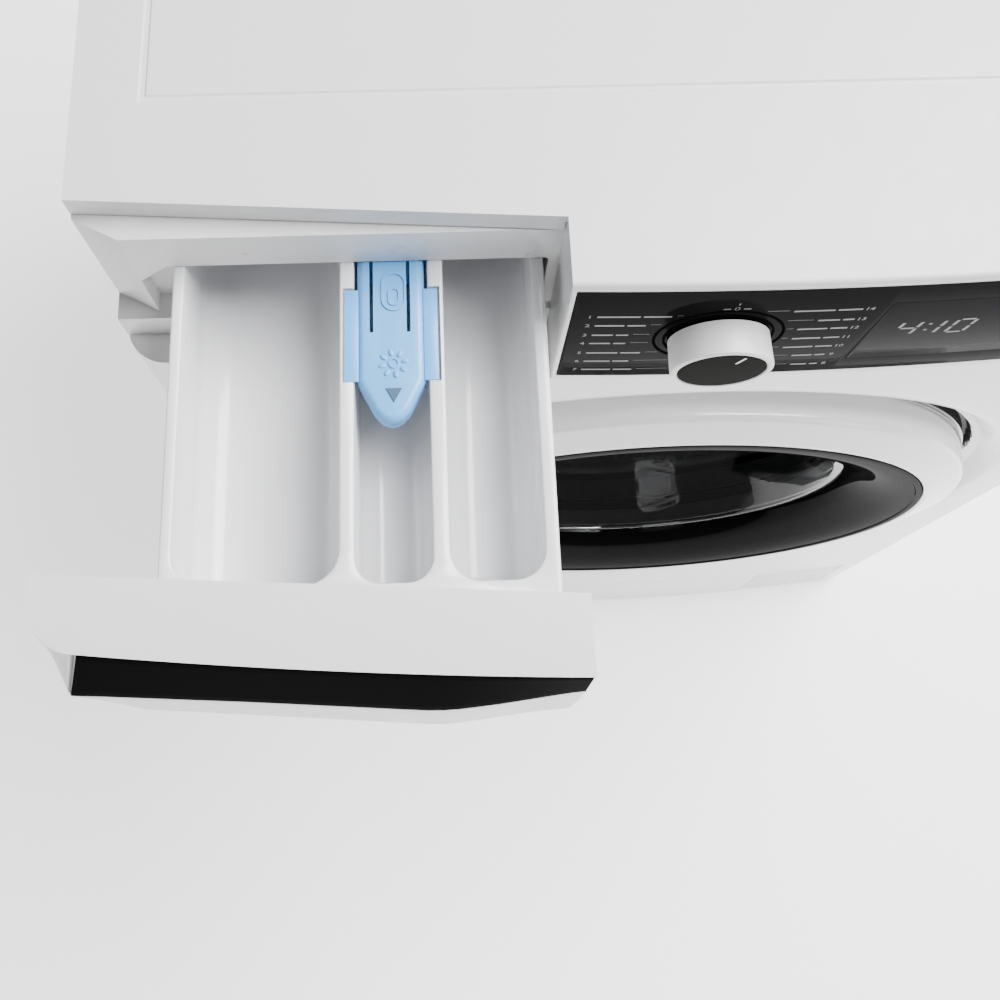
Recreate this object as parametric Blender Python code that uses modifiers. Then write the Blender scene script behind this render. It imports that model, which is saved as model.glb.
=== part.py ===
"""Front load washing machine, detergent drawer stored pulled out to its stop.

Drawn in millimetres from a working origin at the middle of the fascia's front edge, level with the
top surface: X to the machine's left-to-right, Y back into the machine, Z up.  `put` converts to
metres in the part frame: origin on the floor under the middle of the bounding box.
"""
import math

import bmesh
import bpy
from mathutils import Matrix, Vector

# ---- driving dimensions, millimetres ---------------------------------------------------------
WIDTH = 600.0
HEIGHT = 850.0
BODY_BACK = 525.0          # rear face of the sheet metal cabinet
REARMOST = 540.0           # end of the inlet thread
DRAWER_OUT = 157.0         # how far the drawer stands out as stored
FOREMOST = -165.0          # lip of the drawer's pull as stored
BOW_R = 2568.0             # radius of the gently bowed front, seen from above
CORNER_R = 20.0            # rounded vertical front corners
SHEET = 1.5
GAP = 0.3

COVER_T = 12.0             # top cover
NOTCH_X = -86.5            # right side of the drawer's notch
STRIP_TOP, STRIP_BOT = -5.6, -108.0
STRIP_L, STRIP_R = -84.0, 280.0
FASCIA_BOT = -112.6
PANEL_TOP, PANEL_BOT = -113.0, -739.7
PLINTH_BOT = -838.0

DOOR_Z = -404.0            # height of door, drum and shaft axis
DISH_FLOOR = 22.5
RING_R = 228.0
TRIM_R = 199.0
PORT_R = 178.0

TRAY_TOP, TRAY_BOT = -42.0, -100.0
TRAY_L, TRAY_R = -261.5, -94.0
RIB_1 = (-186.5, -180.0)
RIB_2 = (-147.0, -140.0)

KNOB_X, KNOB_Z = -14.4, -56.8
START_X, START_Z = 247.0, -58.0
KEY_X, KEY_ZS = 201.0, (-44.0, -72.0)

DRUM_R = 243.0
TUB_R = 268.0
PULLEY_R = 140.0
MOTOR_PULLEY_R = 12.0
MOTOR_X, MOTOR_Z, MOTOR_R = 125.0, -720.0, 52.0
PUMP_X, PUMP_Z = 225.0, -785.0
HINGE_X, HINGE_Y = -234.0, 6.0
FEET = ((-262.0, 85.0), (262.0, 85.0), (-262.0, 485.0), (262.0, 485.0))

MID_Y = 0.5 * (FOREMOST + REARMOST)


# ---- building blocks -------------------------------------------------------------------------
def put(x, y, z):
    return Vector((x * 0.001, (y - MID_Y) * 0.001, (z + HEIGHT) * 0.001))


def bow(x):
    return x * x / (2.0 * BOW_R)


for old in list(bpy.data.objects):
    bpy.data.objects.remove(old, do_unlink=True)
PARTS = bpy.data.collections.new("machine")
TOOLS = bpy.data.collections.new("cutters")
bpy.context.scene.collection.children.link(PARTS)
bpy.context.scene.collection.children.link(TOOLS)

MATERIALS = {}


def paint(name, rgb, rough=0.4, metal=0.0, alpha=1.0):
    material = bpy.data.materials.new(name)
    material.use_nodes = True
    shader = material.node_tree.nodes["Principled BSDF"]
    shader.inputs["Base Color"].default_value = (*rgb, 1.0)
    shader.inputs["Roughness"].default_value = rough
    shader.inputs["Metallic"].default_value = metal
    shader.inputs["Alpha"].default_value = alpha
    return material


WHITE = (0.86, 0.87, 0.88)
BLACK = (0.012, 0.012, 0.014)
LOOKS = {
    "white": (WHITE, 0.3, 0.0),
    "black": (BLACK, 0.08, 0.0),
    "steel": ((0.62, 0.63, 0.65), 0.3, 1.0),
    "zinc": ((0.5, 0.51, 0.53), 0.45, 1.0),
    "rubber": ((0.30, 0.31, 0.33), 0.7, 0.0),
    "dark": ((0.04, 0.04, 0.045), 0.5, 0.0),
    "tub": ((0.66, 0.67, 0.69), 0.5, 0.0),
    "blue": ((0.35, 0.62, 0.90), 0.35, 0.0),
    "clear": ((0.85, 0.87, 0.90), 0.3, 0.0),
    "glass": ((0.5, 0.53, 0.55), 0.03, 0.0),
    "concrete": ((0.45, 0.44, 0.42), 0.9, 0.0),
    "board": ((0.05, 0.25, 0.12), 0.5, 0.0),
}


def add(name, bm, look=None, seal=True):
    bmesh.ops.recalc_face_normals(bm, faces=bm.faces)
    mesh = bpy.data.meshes.new(name)
    bm.to_mesh(mesh)
    bm.free()
    obj = bpy.data.objects.new(name, mesh)
    if look is None:
        TOOLS.objects.link(obj)
        obj.hide_render = True
        obj.display_type = "WIRE"
    else:
        PARTS.objects.link(obj)
        mesh.materials.append(paint(name, *LOOKS[look]))
    return obj


def skin(bm, loops, closed_ends=True, wrap=False):
    """Bridge equal loops of vertices one to the next and cap or join the ends."""
    rings = [[bm.verts.new(p) for p in loop] for loop in loops]
    count = len(rings[0])
    pairs = list(zip(rings, rings[1:])) + ([(rings[-1], rings[0])] if wrap else [])
    for a, b in pairs:
        for i in range(count):
            j = (i + 1) % count
            bm.faces.new((a[i], a[j], b[j], b[i]))
    if closed_ends and not wrap:
        bm.faces.new(rings[0])
        bm.faces.new(list(reversed(rings[-1])))


def stack(name, layers, look=None):
    """Plan outlines (x, y) at rising heights."""
    bm = bmesh.new()
    skin(bm, [[put(x, y, z) for x, y in outline] for z, outline in layers])
    return add(name, bm, look)


def prism_z(name, outline, z0, z1, look=None):
    return stack(name, [(z0, outline), (z1, outline)], look)


def prism_y(name, outline, y0, y1, look=None):
    bm = bmesh.new()
    skin(bm, [[put(x, y, z) for x, z in outline] for y in (y0, y1)])
    return add(name, bm, look)


def prism_x(name, outline, x0, x1, look=None):
    bm = bmesh.new()
    skin(bm, [[put(x, y, z) for y, z in outline] for x in (x0, x1)])
    return add(name, bm, look)


def block(name, lo, hi, look=None):
    outline = [(lo[0], lo[1]), (hi[0], lo[1]), (hi[0], hi[1]), (lo[0], hi[1])]
    return prism_z(name, outline, lo[2], hi[2], look)


def loft_x(name, stations, look=None):
    """Side profiles (y, z) at rising x."""
    bm = bmesh.new()
    skin(bm, [[put(x, y, z) for y, z in profile] for x, profile in stations])
    return add(name, bm, look)


def lathe(name, profile, look=None, at=(0.0, DOOR_Z), steps=64, axis="y", base=0.0):
    """Spin a closed profile of (radius, distance) about a line parallel to Y or Z."""
    bm = bmesh.new()
    rings = []
    for k in range(steps):
        angle = 2.0 * math.pi * k / steps
        ca, sa = math.cos(angle), math.sin(angle)
        ring = []
        for r, d in profile:
            if axis == "y":
                ring.append(put(at[0] + r * ca, d, at[1] + r * sa))
            else:
                ring.append(put(at[0] + r * ca, at[1] + r * sa, d))
        rings.append(ring)
    skin(bm, rings, wrap=True)
    bmesh.ops.remove_doubles(bm, verts=bm.verts, dist=1e-6)
    return add(name, bm, look)


def rod(name, start, end, profile, look=None, steps=16):
    """Spin (radius, distance) steps about the line from start to end; ends are closed."""
    a, b = put(*start), put(*end)
    line = (b - a).normalized()
    side = line.orthogonal().normalized()
    up = line.cross(side)
    bm = bmesh.new()
    loops = []
    for r, d in profile:
        centre = a + line * (d * 0.001)
        loops.append([centre + (side * math.cos(t) + up * math.sin(t)) * (r * 0.001)
                      for t in (2.0 * math.pi * k / steps for k in range(steps))])
    skin(bm, loops)
    return add(name, bm, look)


def hose(name, path, radius, look=None, steps=10, closed=False):
    """Round tube along a list of points, with a frame carried smoothly round the bends."""
    points = [put(*p) for p in path]
    count = len(points)
    bm = bmesh.new()
    loops = []
    side = None
    for i, p in enumerate(points):
        before = points[i - 1] if i or closed else p
        after = points[(i + 1) % count] if i < count - 1 or closed else p
        line = (after - before).normalized()
        if side is None:
            side = line.orthogonal().normalized()
        side = (side - line * side.dot(line)).normalized()
        up = line.cross(side)
        loops.append([p + (side * math.cos(t) + up * math.sin(t)) * (radius * 0.001)
                      for t in (2.0 * math.pi * k / steps for k in range(steps))])
    skin(bm, loops, wrap=closed)
    return add(name, bm, look)


def rounded(points, radius=None, steps=6):
    """Smooth a list of corner points into a bent path."""
    out = [Vector(points[0])]
    for a, b, c in zip(points, points[1:], points[2:]):
        a, b, c = Vector(a), Vector(b), Vector(c)
        r = min(radius, 0.45 * (a - b).length, 0.45 * (c - b).length)
        p0 = b + (a - b).normalized() * r
        p1 = b + (c - b).normalized() * r
        for k in range(steps + 1):
            t = k / steps
            out.append(p0 * (1 - t) ** 2 + b * 2 * t * (1 - t) + p1 * t * t)
    out.append(Vector(points[-1]))
    return out


def apply(target, tool, how="DIFFERENCE"):
    mod = target.modifiers.new(tool.name, "BOOLEAN")
    mod.operation = how
    mod.solver = "EXACT"
    mod.object = tool
    return target


def soften(obj, width, segments=2, angle=40.0):
    mod = obj.modifiers.new("soft edges", "BEVEL")
    mod.width = width * 0.001
    mod.segments = segments
    mod.limit_method = "ANGLE"
    mod.angle_limit = math.radians(angle)
    return obj


def arc_xs(x0, x1, count):
    return [x0 + (x1 - x0) * k / count for k in range(count + 1)]


def corner(side, steps=5):
    """Points of the rounded front corner, from the bowed face round to the side."""
    cx = 0.5 * WIDTH - CORNER_R
    cy = bow(cx) + CORNER_R
    pts = []
    for k in range(1, steps + 1):
        t = 0.5 * math.pi * k / steps
        pts.append((side * (cx + CORNER_R * math.sin(t)), cy - CORNER_R * math.cos(t)))
    return pts


def front_line(x0, x1, count=22, inset=0.0):
    """Bowed front from x0 to x1, with rounded corners where it reaches the sides."""
    limit = 0.5 * WIDTH - CORNER_R
    a, b = max(x0, -limit), min(x1, limit)
    pts = [(x, bow(x)) for x in arc_xs(a, b, count)]
    if x0 < -limit:
        pts = list(reversed(corner(-1))) + pts
    if x1 > limit:
        pts = pts + corner(1)
    if inset:
        pts = [(x - math.copysign(inset * max(0.0, (abs(x) - limit) / CORNER_R), x), y + inset)
               for x, y in pts]
    return pts


# ---- cabinet shell ---------------------------------------------------------------------------
HALF = 0.5 * WIDTH
SIDE_FRONT = 45.0
inner = HALF - SHEET
cabinet = prism_z("cabinet", [
    (-HALF, SIDE_FRONT), (-HALF, BODY_BACK), (HALF, BODY_BACK), (HALF, SIDE_FRONT),
    (inner - 12, SIDE_FRONT), (inner - 12, SIDE_FRONT + SHEET), (inner, SIDE_FRONT + SHEET),
    (inner, BODY_BACK - SHEET), (-inner, BODY_BACK - SHEET), (-inner, SIDE_FRONT + SHEET),
    (12 - inner, SIDE_FRONT + SHEET), (12 - inner, SIDE_FRONT)],
    PLINTH_BOT + 2, -COVER_T - GAP, "white")
apply(cabinet, block("cut_drawer_side", (-HALF - 5, 30, FASCIA_BOT), (-260, 60.3, 5)))
apply(cabinet, prism_y("cut_rear_access", [(-190, -640), (190, -640), (190, -150), (-190, -150)],
                       BODY_BACK - 10, BODY_BACK + 10))
apply(cabinet, lathe("cut_inlet", [(0, 500), (15.5, 500), (15.5, 545), (0, 545)],
                     at=(-235.0, -70.0), steps=24))
apply(cabinet, lathe("cut_drain", [(0, 500), (13.5, 500), (13.5, 545), (0, 545)],
                     at=(262.0, -120.0), steps=24))

pan = [(-205, -655), (205, -655), (205, -135), (-205, -135)]
rear_cover = prism_y("rear_cover", pan, BODY_BACK + GAP, BODY_BACK + 6.0, "zinc")
apply(rear_cover, prism_y("cut_pan", [(-198, -648), (198, -648), (198, -142), (-198, -142)],
                          BODY_BACK - 5, BODY_BACK + 4.6))
soften(rear_cover, 1.2, 1)

base_plate = block("base_plate", (-inner + GAP, SIDE_FRONT + SHEET + GAP, -835),
                   (inner - GAP, BODY_BACK - SHEET - GAP, -820), "zinc")
apply(base_plate, block("cut_base", (-inner + 3, SIDE_FRONT + 4, -832), (inner - 3, 520, -800)))
for n, (fx, fy) in enumerate(FEET):
    tag = ("front_left", "front_right", "rear_left", "rear_right")[n]
    apply(base_plate, lathe("cut_foot_" + tag, [(0, -845), (6, -845), (6, -825), (0, -825)],
                            at=(fx, fy), steps=12, axis="z"))
    lathe("foot_" + tag, [(0, -850), (20, -850), (21.5, -848), (21.5, -843), (13, -840.5),
                          (9.5, -840.5), (9.5, -835.4), (5.4, -835.4), (5.4, -806), (4.6, -804),
                          (0, -804)], "dark", at=(fx, fy), steps=16, axis="z")

# ---- top cover -------------------------------------------------------------------------------
notch_back = 28.2 - 0.0629 * NOTCH_X
outline = [(NOTCH_X, notch_back)] + front_line(NOTCH_X, HALF, 12) + [
    (HALF, BODY_BACK - 1), (-HALF, BODY_BACK - 1), (-HALF, 47.07)]
top_cover = prism_z("top_cover", outline, -COVER_T, 0.0, "white")
apply(top_cover, block("cut_over_fascia", (NOTCH_X - 5, -20, -COVER_T - 5),
                       (HALF + 5, 46.4, -5.0)))
well = [(-271, 94), (271, 94), (271, 505), (-271, 505)]
well_low = [(-269, 96), (269, 96), (269, 503), (-269, 503)]
apply(top_cover, stack("cut_well", [(-0.9, well_low), (0.6, [(x * 1.003, 300 + (y - 300) * 1.004)
                                                             for x, y in well])]))
soften(top_cover, 1.6, 2, 50.0)

# ---- control fascia, strip and what is set in it ---------------------------------------------
wall = 2.5
out = front_line(NOTCH_X, HALF, 12)
back = [(x - (wall if x > 290 else 0), y + 2.3 + wall) for x, y in reversed(out)
        if x < HALF - wall - 0.5]
back[-1] = (NOTCH_X + wall, back[-1][1])
fascia = prism_z("fascia", [(NOTCH_X, 34.0)] + out + [(HALF, 44.4), (HALF - wall, 44.4)] + back
                 + [(NOTCH_X + wall, 34.0)], FASCIA_BOT, -5.3, "white")


def strip_plan(x0, x1, near, far, count=12):
    xs = arc_xs(x0, x1, count)
    return [(x, bow(x) + near) for x in xs] + [(x, bow(x) + far) for x in reversed(xs)]


apply(fascia, prism_z("cut_strip_seat", strip_plan(STRIP_L - GAP, STRIP_R + GAP, -5, 2.3),
                      STRIP_BOT - GAP, 5))
strip = prism_z("control_strip", strip_plan(STRIP_L, STRIP_R, 0.0, 2.0), STRIP_BOT, STRIP_TOP,
                "black")


def rounded_box(cx, cz, w, h, r, steps=4):
    pts = []
    for sx, sz, start in ((1, 1, 0), (-1, 1, 90), (-1, -1, 180), (1, -1, 270)):
        for k in range(steps + 1):
            t = math.radians(start + 90.0 * k / steps)
            pts.append((cx + sx * (0.5 * w - r) + r * math.cos(t),
                        cz + sz * (0.5 * h - r) + r * math.sin(t)))
    return pts


shaft_hole = lathe("cut_knob_shaft", [(0, -10), (7, -10), (7, 20), (0, 20)],
                   at=(KNOB_X, KNOB_Z), steps=24)
start_hole = lathe("cut_start", [(0, -10), (13.4, -10), (13.4, 30), (0, 30)],
                   at=(START_X, START_Z), steps=32)
for panel in (fascia, strip):
    apply(panel, shaft_hole)
    apply(panel, start_hole)
for n, kz in enumerate(KEY_ZS):
    key_hole = prism_y("cut_key_%d" % (n + 1), rounded_box(KEY_X, kz, 22.8, 9.8, 4.4), -10, 30)
    apply(strip, key_hole)
    apply(fascia, key_hole)
    key = prism_y("option_key_%d" % (n + 1), rounded_box(KEY_X, kz, 22.0, 9.0, 4.0),
                  bow(KEY_X) - 1.2, bow(KEY_X) + 9, "black")
    soften(key, 0.5, 1)
apply(strip, block("cut_window", (55.2, -10, -92.3), (168.8, 30, -23.7)))
window_xs = arc_xs(55.5, 168.5, 8)
window = prism_z("display_window", [(x, bow(x) - 0.15) for x in window_xs]
                 + [(x, bow(x) + 1.9) for x in reversed(window_xs)], -92.0, -24.0, "black")

lathe("start_button", [(0, bow(START_X) - 2.2), (11.5, bow(START_X) - 2.2),
                       (13, bow(START_X) - 1.2), (13, bow(START_X) + 9), (0, bow(START_X) + 9)],
      "white", at=(START_X, START_Z), steps=32)
lathe("programme_knob", [(0, -16.5), (20.5, -16.5), (20.5, -17.2), (22.0, -17.3), (23.3, -16.0),
                         (23.0, -1.2), (20.6, -1.2), (20.3, -11), (6.5, -11), (6.5, -2),
                         (3.3, -2), (3.3, -10), (0, -10)], "white", at=(KNOB_X, KNOB_Z), steps=36)
lathe("knob_face", [(0, -17.3), (19.6, -17.3), (20.1, -17.0), (20.1, -16.8), (0, -16.8)],
      "dark", at=(KNOB_X, KNOB_Z), steps=36)
board = block("control_board", (-66, 24, -102), (268, 31, -16), "board")
apply(board, lathe("join_encoder", [(0, -8), (3, -8), (3, 8), (11, 8), (11, 26), (0, 26)],
                   at=(KNOB_X, KNOB_Z), steps=24), "UNION")

# ---- front panel with the dish round the door ------------------------------------------------
outer = front_line(-HALF, HALF, 18)
behind = [(x - math.copysign(wall, x) if abs(x) > 290 else x, y + wall)
          for x, y in reversed(outer) if abs(x) < HALF - wall - 0.5]
shell_plan = [(-HALF, 44.4)] + outer + [(HALF, 44.4), (HALF - wall, 44.4)] + behind + [
    (wall - HALF, 44.4)]
front_panel = lathe("front_panel", [(0, -30), (295, -30), (243, DISH_FLOOR + 3),
                                    (0, DISH_FLOOR + 3)], "white", steps=60)
solid_plan = [(3 - HALF, 40.0)] + [(x, y + 0.5) for x, y in outer[3:-3]] + [(HALF - 3, 40.0)]
apply(front_panel, prism_z("keep_bow", solid_plan, PANEL_BOT + 1, PANEL_TOP - 1), "INTERSECT")
apply(front_panel, prism_z("join_shell", shell_plan, PANEL_BOT, PANEL_TOP), "UNION")
apply(front_panel, lathe("cut_dish", [(0, -60), (314, -60), (240, DISH_FLOOR),
                                      (0, DISH_FLOOR)], steps=60))
apply(front_panel, lathe("cut_port", [(0, -60), (PORT_R, -60), (PORT_R, 60), (0, 60)], steps=60))
apply(front_panel, block("cut_latch_slot", (191.5, 10, DOOR_Z - 15), (214.5, 40, DOOR_Z + 15)))

plinth = prism_z("plinth", shell_plan, PLINTH_BOT, PANEL_BOT - GAP, "white")
flap_hole = prism_y("cut_flap", [(180, -828), (270, -828), (270, -748), (180, -748)], -20, 40)
apply(plinth, flap_hole)
flap_xs = arc_xs(180.6, 269.4, 6)
flap = prism_z("filter_flap", [(x, bow(x)) for x in flap_xs] + [(x, bow(x) + 2.5)
                                                                for x in reversed(flap_xs)],
               -827.2, -748.6, "white")

# ---- door ------------------------------------------------------------------------------------
ring = lathe("door_ring", [(199.3, -8.5), (201.5, -9.7), (204, -9.1), (223, -3.0),
                           (225.5, -0.8), (226.2, 2), (228, 20), (228, 21.8), (225.5, 21.8), (225.5, 7), (222.5, 1.5), (216.5, -3.3),
                           (204, -6.2), (199.3, -5.6)], "white", steps=48)
lathe("door_trim", [(199.0, -9.2), (197.6, -10), (186, -9.4), (170, -4.0), (157, 4), (151, 11),
                    (150, 16), (199, 16)], "black", steps=48)
lathe("door_glass", [(0, 105), (60, 104), (100, 98), (121, 84), (133, 50), (143, 16.4),
                     (157, 16.4), (157, 21), (148, 21), (138, 52), (126, 88), (103, 103),
                     (62, 109), (0, 110)], "glass", steps=48)
door_frame = lathe("door_frame", [(157.6, 16.6), (200.4, 16.6), (204, 10), (225, 10), (225, 21.8),
                                  (168, 21.8), (166, 36), (158, 36), (157.6, 30)], "tub",
                   steps=48)
hinge_seat = block("cut_hinge_seat", (-240, 3, DOOR_Z - 47), (-206.5, 30, DOOR_Z + 47))
apply(ring, hinge_seat)
apply(door_frame, hinge_seat)
apply(door_frame, block("cut_latch_seat", (190, 5, DOOR_Z - 17), (214, 30, DOOR_Z + 17)))

hinge_arm = block("hinge_arm", (-228.0, 4.5, DOOR_Z - 46), (-207, 21.5, DOOR_Z + 46), "zinc")
for tag, z0, z1 in (("low", DOOR_Z - 46, DOOR_Z - 24), ("high", DOOR_Z + 24, DOOR_Z + 46)):
    apply(hinge_arm, lathe("join_knuckle_" + tag, [(0, z0 + 0.2), (5, z0 + 0.2), (5, z1), (0, z1)],
                           at=(HINGE_X, HINGE_Y), steps=20, axis="z"), "UNION")
    apply(hinge_arm, block("join_web_" + tag, (HINGE_X, HINGE_Y - 1.2, z0 + 0.6),
                           (-227, HINGE_Y + 4.6, z1 - 0.4)), "UNION")
apply(hinge_arm, lathe("cut_pin", [(0, DOOR_Z - 70), (3.1, DOOR_Z - 70), (3.1, DOOR_Z + 70),
                                   (0, DOOR_Z + 70)], at=(HINGE_X, HINGE_Y), steps=20, axis="z"))
bracket = lathe("hinge_bracket", [(0, DOOR_Z - 49), (4.6, DOOR_Z - 49), (4.6, DOOR_Z - 46.4),
                                  (3.05, DOOR_Z - 46.4), (3.05, DOOR_Z - 23.4),
                                  (5, DOOR_Z - 23.4), (5, DOOR_Z + 23.4), (3.05, DOOR_Z + 23.4),
                                  (3.05, DOOR_Z + 48), (0, DOOR_Z + 48)], "zinc",
                at=(HINGE_X, HINGE_Y), steps=20, axis="z")
apply(bracket, block("join_bracket_web", (HINGE_X - 3.5, HINGE_Y, DOOR_Z - 22),
                     (HINGE_X + 1, 21, DOOR_Z + 22)), "UNION")
apply(bracket, block("join_bracket_foot", (HINGE_X - 1.2, 19.5, DOOR_Z - 38),
                     (HINGE_X + 5.4, DISH_FLOOR - GAP, DOOR_Z + 38)), "UNION")

latch = lathe("door_latch", [(0, DOOR_Z - 12), (4, DOOR_Z - 12), (4, DOOR_Z + 12),
                             (0, DOOR_Z + 12)], "zinc", at=(205.0, 16.0), steps=16, axis="z")
apply(latch, prism_z("join_hook", [(202.6, 16), (207.4, 16), (207.4, 37), (212.0, 41), (210, 46.5),
                                   (202.6, 46.5)], DOOR_Z - 8, DOOR_Z + 8), "UNION")
lock = block("door_lock", (189.4, DISH_FLOOR + 3 + GAP, DOOR_Z - 42), (238, 58, DOOR_Z + 42),
             "dark")
apply(lock, block("cut_lock", (191.6, 10, DOOR_Z - 14), (214, 53, DOOR_Z + 14)))

# ---- detergent drawer and its housing --------------------------------------------------------
OUT = -DRAWER_OUT
PULL_TOP = [(-281.0, 15.4), (-146.0, -7.0 + 0.3), (-122.0, -4.8), (-98.0, -1.7), (-87.5, -0.6)]
PULL_LOW = [(-284.0, 3.2), (-144.5, -8.0), (-102.0, -3.1), (-87.5, -2.2)]


def along(points, x):
    for (xa, ya), (xb, yb) in zip(points, points[1:]):
        if x <= xb:
            return ya + (yb - ya) * max(0.0, (x - xa) / (xb - xa))
    return points[-1][1]


STRIP_LEFT = -281.0
PULL_MID = [(-281.0, 15.4 - 11.9), (-144.5, 4.07 - 10.9), (-122.0, -4.8), (-98.0, -1.7),
            (-87.5, -0.5)]
face_xs = [-281.0] + arc_xs(-266, -144.5, 5) + [-122.0, -98.0, -87.5]
left_round = [(x, y) for x, y in reversed(corner(-1, 5))] + [(-283.0, bow(283))]


def drawer_outline(face, back):
    pts = left_round + [(x, face(x)) for x in face_xs]
    return [(x, y + OUT) for x, y in pts + back]


flat = drawer_outline(bow, [(-87.5, 33.3), (-279.5, 46.4 - 1.6), (-300, 46.0)])
BACK_TOP = [(-87.5, 32.7), (-279.5, 44.6), (-300, 45.9)]
BACK_MID = [(-87.5, 33.4), (-279.5, 33.4), (-300, 44.4)]
BACK_LOW = [(-87.5, 29.8), (-279.5, 29.8), (-300, 29.9)]
low_face = [(x, y) for x, y in PULL_LOW]
layers = [
    (-110.0, drawer_outline(lambda x: along(low_face, x), [(-87.5, 29.2), (-279.5, 29.2),
                                                           (-299.0, 29.3)])),
    (-109.0, drawer_outline(lambda x: along(low_face, x), BACK_LOW)),
    (-91.6, drawer_outline(lambda x: along(low_face, x) + 0.2, BACK_LOW)),
    (-91.3, drawer_outline(lambda x: along(low_face, x) + 0.2, BACK_MID)),
    (-35.0, drawer_outline(lambda x: along(PULL_MID, x) - 0.3, BACK_MID)),
    (-34.6, drawer_outline(lambda x: along(PULL_MID, x) + 0.2, BACK_MID)),
    (-34.3, drawer_outline(lambda x: along(PULL_MID, x) + 2.3, BACK_MID)),
    (-13.3, drawer_outline(lambda x: bow(x) + (along(PULL_MID, x) - bow(x)) * 0.31 + 2.3,
                           BACK_MID)),
    (-13.0, drawer_outline(lambda x: bow(x) + (along(PULL_MID, x) - bow(x)) * 0.30 + 2.3,
                           BACK_TOP)),
    (-4.3, drawer_outline(lambda x: bow(x) + 2.3, BACK_TOP)),
    (-4.0, drawer_outline(bow, BACK_TOP)),
    (-1.0, drawer_outline(bow, BACK_TOP)),
]
drawer_front = stack("drawer_front", layers, "white")
apply(drawer_front, prism_z("cut_finger", [(-268, 8 + OUT), (-150, -2.5 + OUT), (-150, 24 + OUT),
                                           (-268, 24 + OUT)], -130, -50))
stations = []
for x in face_xs:
    xx = min(max(x, STRIP_LEFT + 0.4), -87.9)
    top_y, low_y = bow(xx), along(PULL_MID, xx)
    stations.append((xx, [(top_y + OUT, -4.6), (low_y + OUT, -34.0), (low_y + 2.0 + OUT, -34.0),
                          (top_y + 2.0 + OUT, -4.6)]))
loft_x("drawer_strip", stations, "black")

tray_front, tray_back = 33.7 + OUT, 300.0 + OUT
tray = block("drawer_tray", (TRAY_L, tray_front, TRAY_BOT), (TRAY_R, tray_back, TRAY_TOP), "clear")
for tag, x0, x1, floor in (("main", TRAY_L + 5, RIB_1[0], -97), ("softener", RIB_1[1], RIB_2[0],
                                                                 -94),
                           ("prewash", RIB_2[1], TRAY_R - 6, -97)):
    bm = bmesh.new()
    r = 12.0
    y0, y1 = tray_front + 12.0, tray_back - 6.0
    plan = [(x0, y1), (x0, y0 + r)]
    plan += [(x0 + r - r * math.cos(t), y0 + r - r * math.sin(t))
             for t in (math.pi / 6 * k for k in range(1, 4))]
    plan += [(x1 - r + r * math.sin(t), y0 + r - r * math.cos(t))
             for t in (math.pi / 6 * k for k in range(0, 3))]
    plan += [(x1, y0 + r), (x1, y1)]
    mid = 0.5 * (x0 + x1)
    tool = stack("cut_" + tag, [
        (floor, [(mid + (x - mid) * 0.62, y + 6 if y < y0 + 20 else y) for x, y in plan]),
        (floor + 8, [(mid + (x - mid) * 0.90, y + 1.5 if y < y0 + 20 else y) for x, y in plan]),
        (floor + 20, plan), (-30, plan)])
    apply(tray, tool)
    bm.free()
apply(tray, block("cut_wings", (RIB_1[0] + 1.5, -23.0, -44.6), (RIB_2[1] - 1.5, 22.0, -30)))
tip = [(-163.5 + 13.5 * math.sin(t), -30.0 - 13.0 * math.cos(t))
       for t in (math.pi * (-0.5 + k / 10) for k in range(11))]
insert_plan = [(-184.4, -22.4), (-177.0, -22.4)] + tip[0:11] + [
    (-150.0, -22.4), (-142.6, -22.4), (-142.6, 21.4), (-148.4, 21.4), (-148.4, 135),
    (-178.6, 135), (-178.6, 21.4), (-184.4, 21.4)]
insert = prism_z("siphon_insert", insert_plan, -44.4, -42.2, "blue")
apply(insert, block("join_siphon", (-175, 42, -86), (-152, 131, -43.5)), "UNION")
for n, x0 in enumerate((-171.0, -156.6)):
    apply(insert, block("cut_slot_%d" % n, (x0, 0.5, -60), (x0 + 1.4, 39.0, -30)))

surround = stack("drawer_surround", [
    (-112.0, [(-300, 31), (-279.5, 31.0), (-80, 31.0), (-80, 60), (-300, 60)]),
    (-92.3, [(-300, 31), (-279.5, 31.0), (-80, 31.0), (-80, 60), (-300, 60)]),
    (-92.0, [(-300, 45.4), (-279.5, 34.6), (-80, 34.6), (-80, 60), (-300, 60)]),
    (-13.8, [(-300, 45.4), (-279.5, 34.6), (-80, 34.6), (-80, 60), (-300, 60)]),
    (-13.4, [(-300, 47.6), (-279.5, 46.4), (-80, 36.0), (-80, 60), (-300, 60)]),
    (-12.4, [(-300, 47.6), (-279.5, 46.4), (-80, 36.0), (-80, 60), (-300, 60)])], "white")
apply(surround, block("cut_mouth", (-265.5, 0, -103.2), (-91.5, 100, -41.2)))
apply(surround, prism_y("cut_recess", [(-264.0, -92.0), (-264.0, -40.7), (-279.4, -56.0),
                                       (-279.4, -92.0)], 20, 44))
apply(surround, block("cut_fascia_end", (NOTCH_X - GAP, 0, -130), (-60, 34.4, 0)))
housing = block("dispenser_housing", (-270, 60.3, -110), (-86, 335, -37), "tub")
apply(housing, block("cut_housing", (-266, 40, -106), (-90, 331, -40.4)))
apply(housing, lathe("join_spout", [(0, -124), (20, -124), (20, -108), (0, -108)],
                     at=(-180.0, 240.0), steps=24, axis="z"), "UNION")
apply(housing, lathe("cut_spout", [(0, -130), (15, -130), (15, -90), (0, -90)],
                     at=(-180.0, 240.0), steps=24, axis="z"))

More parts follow.
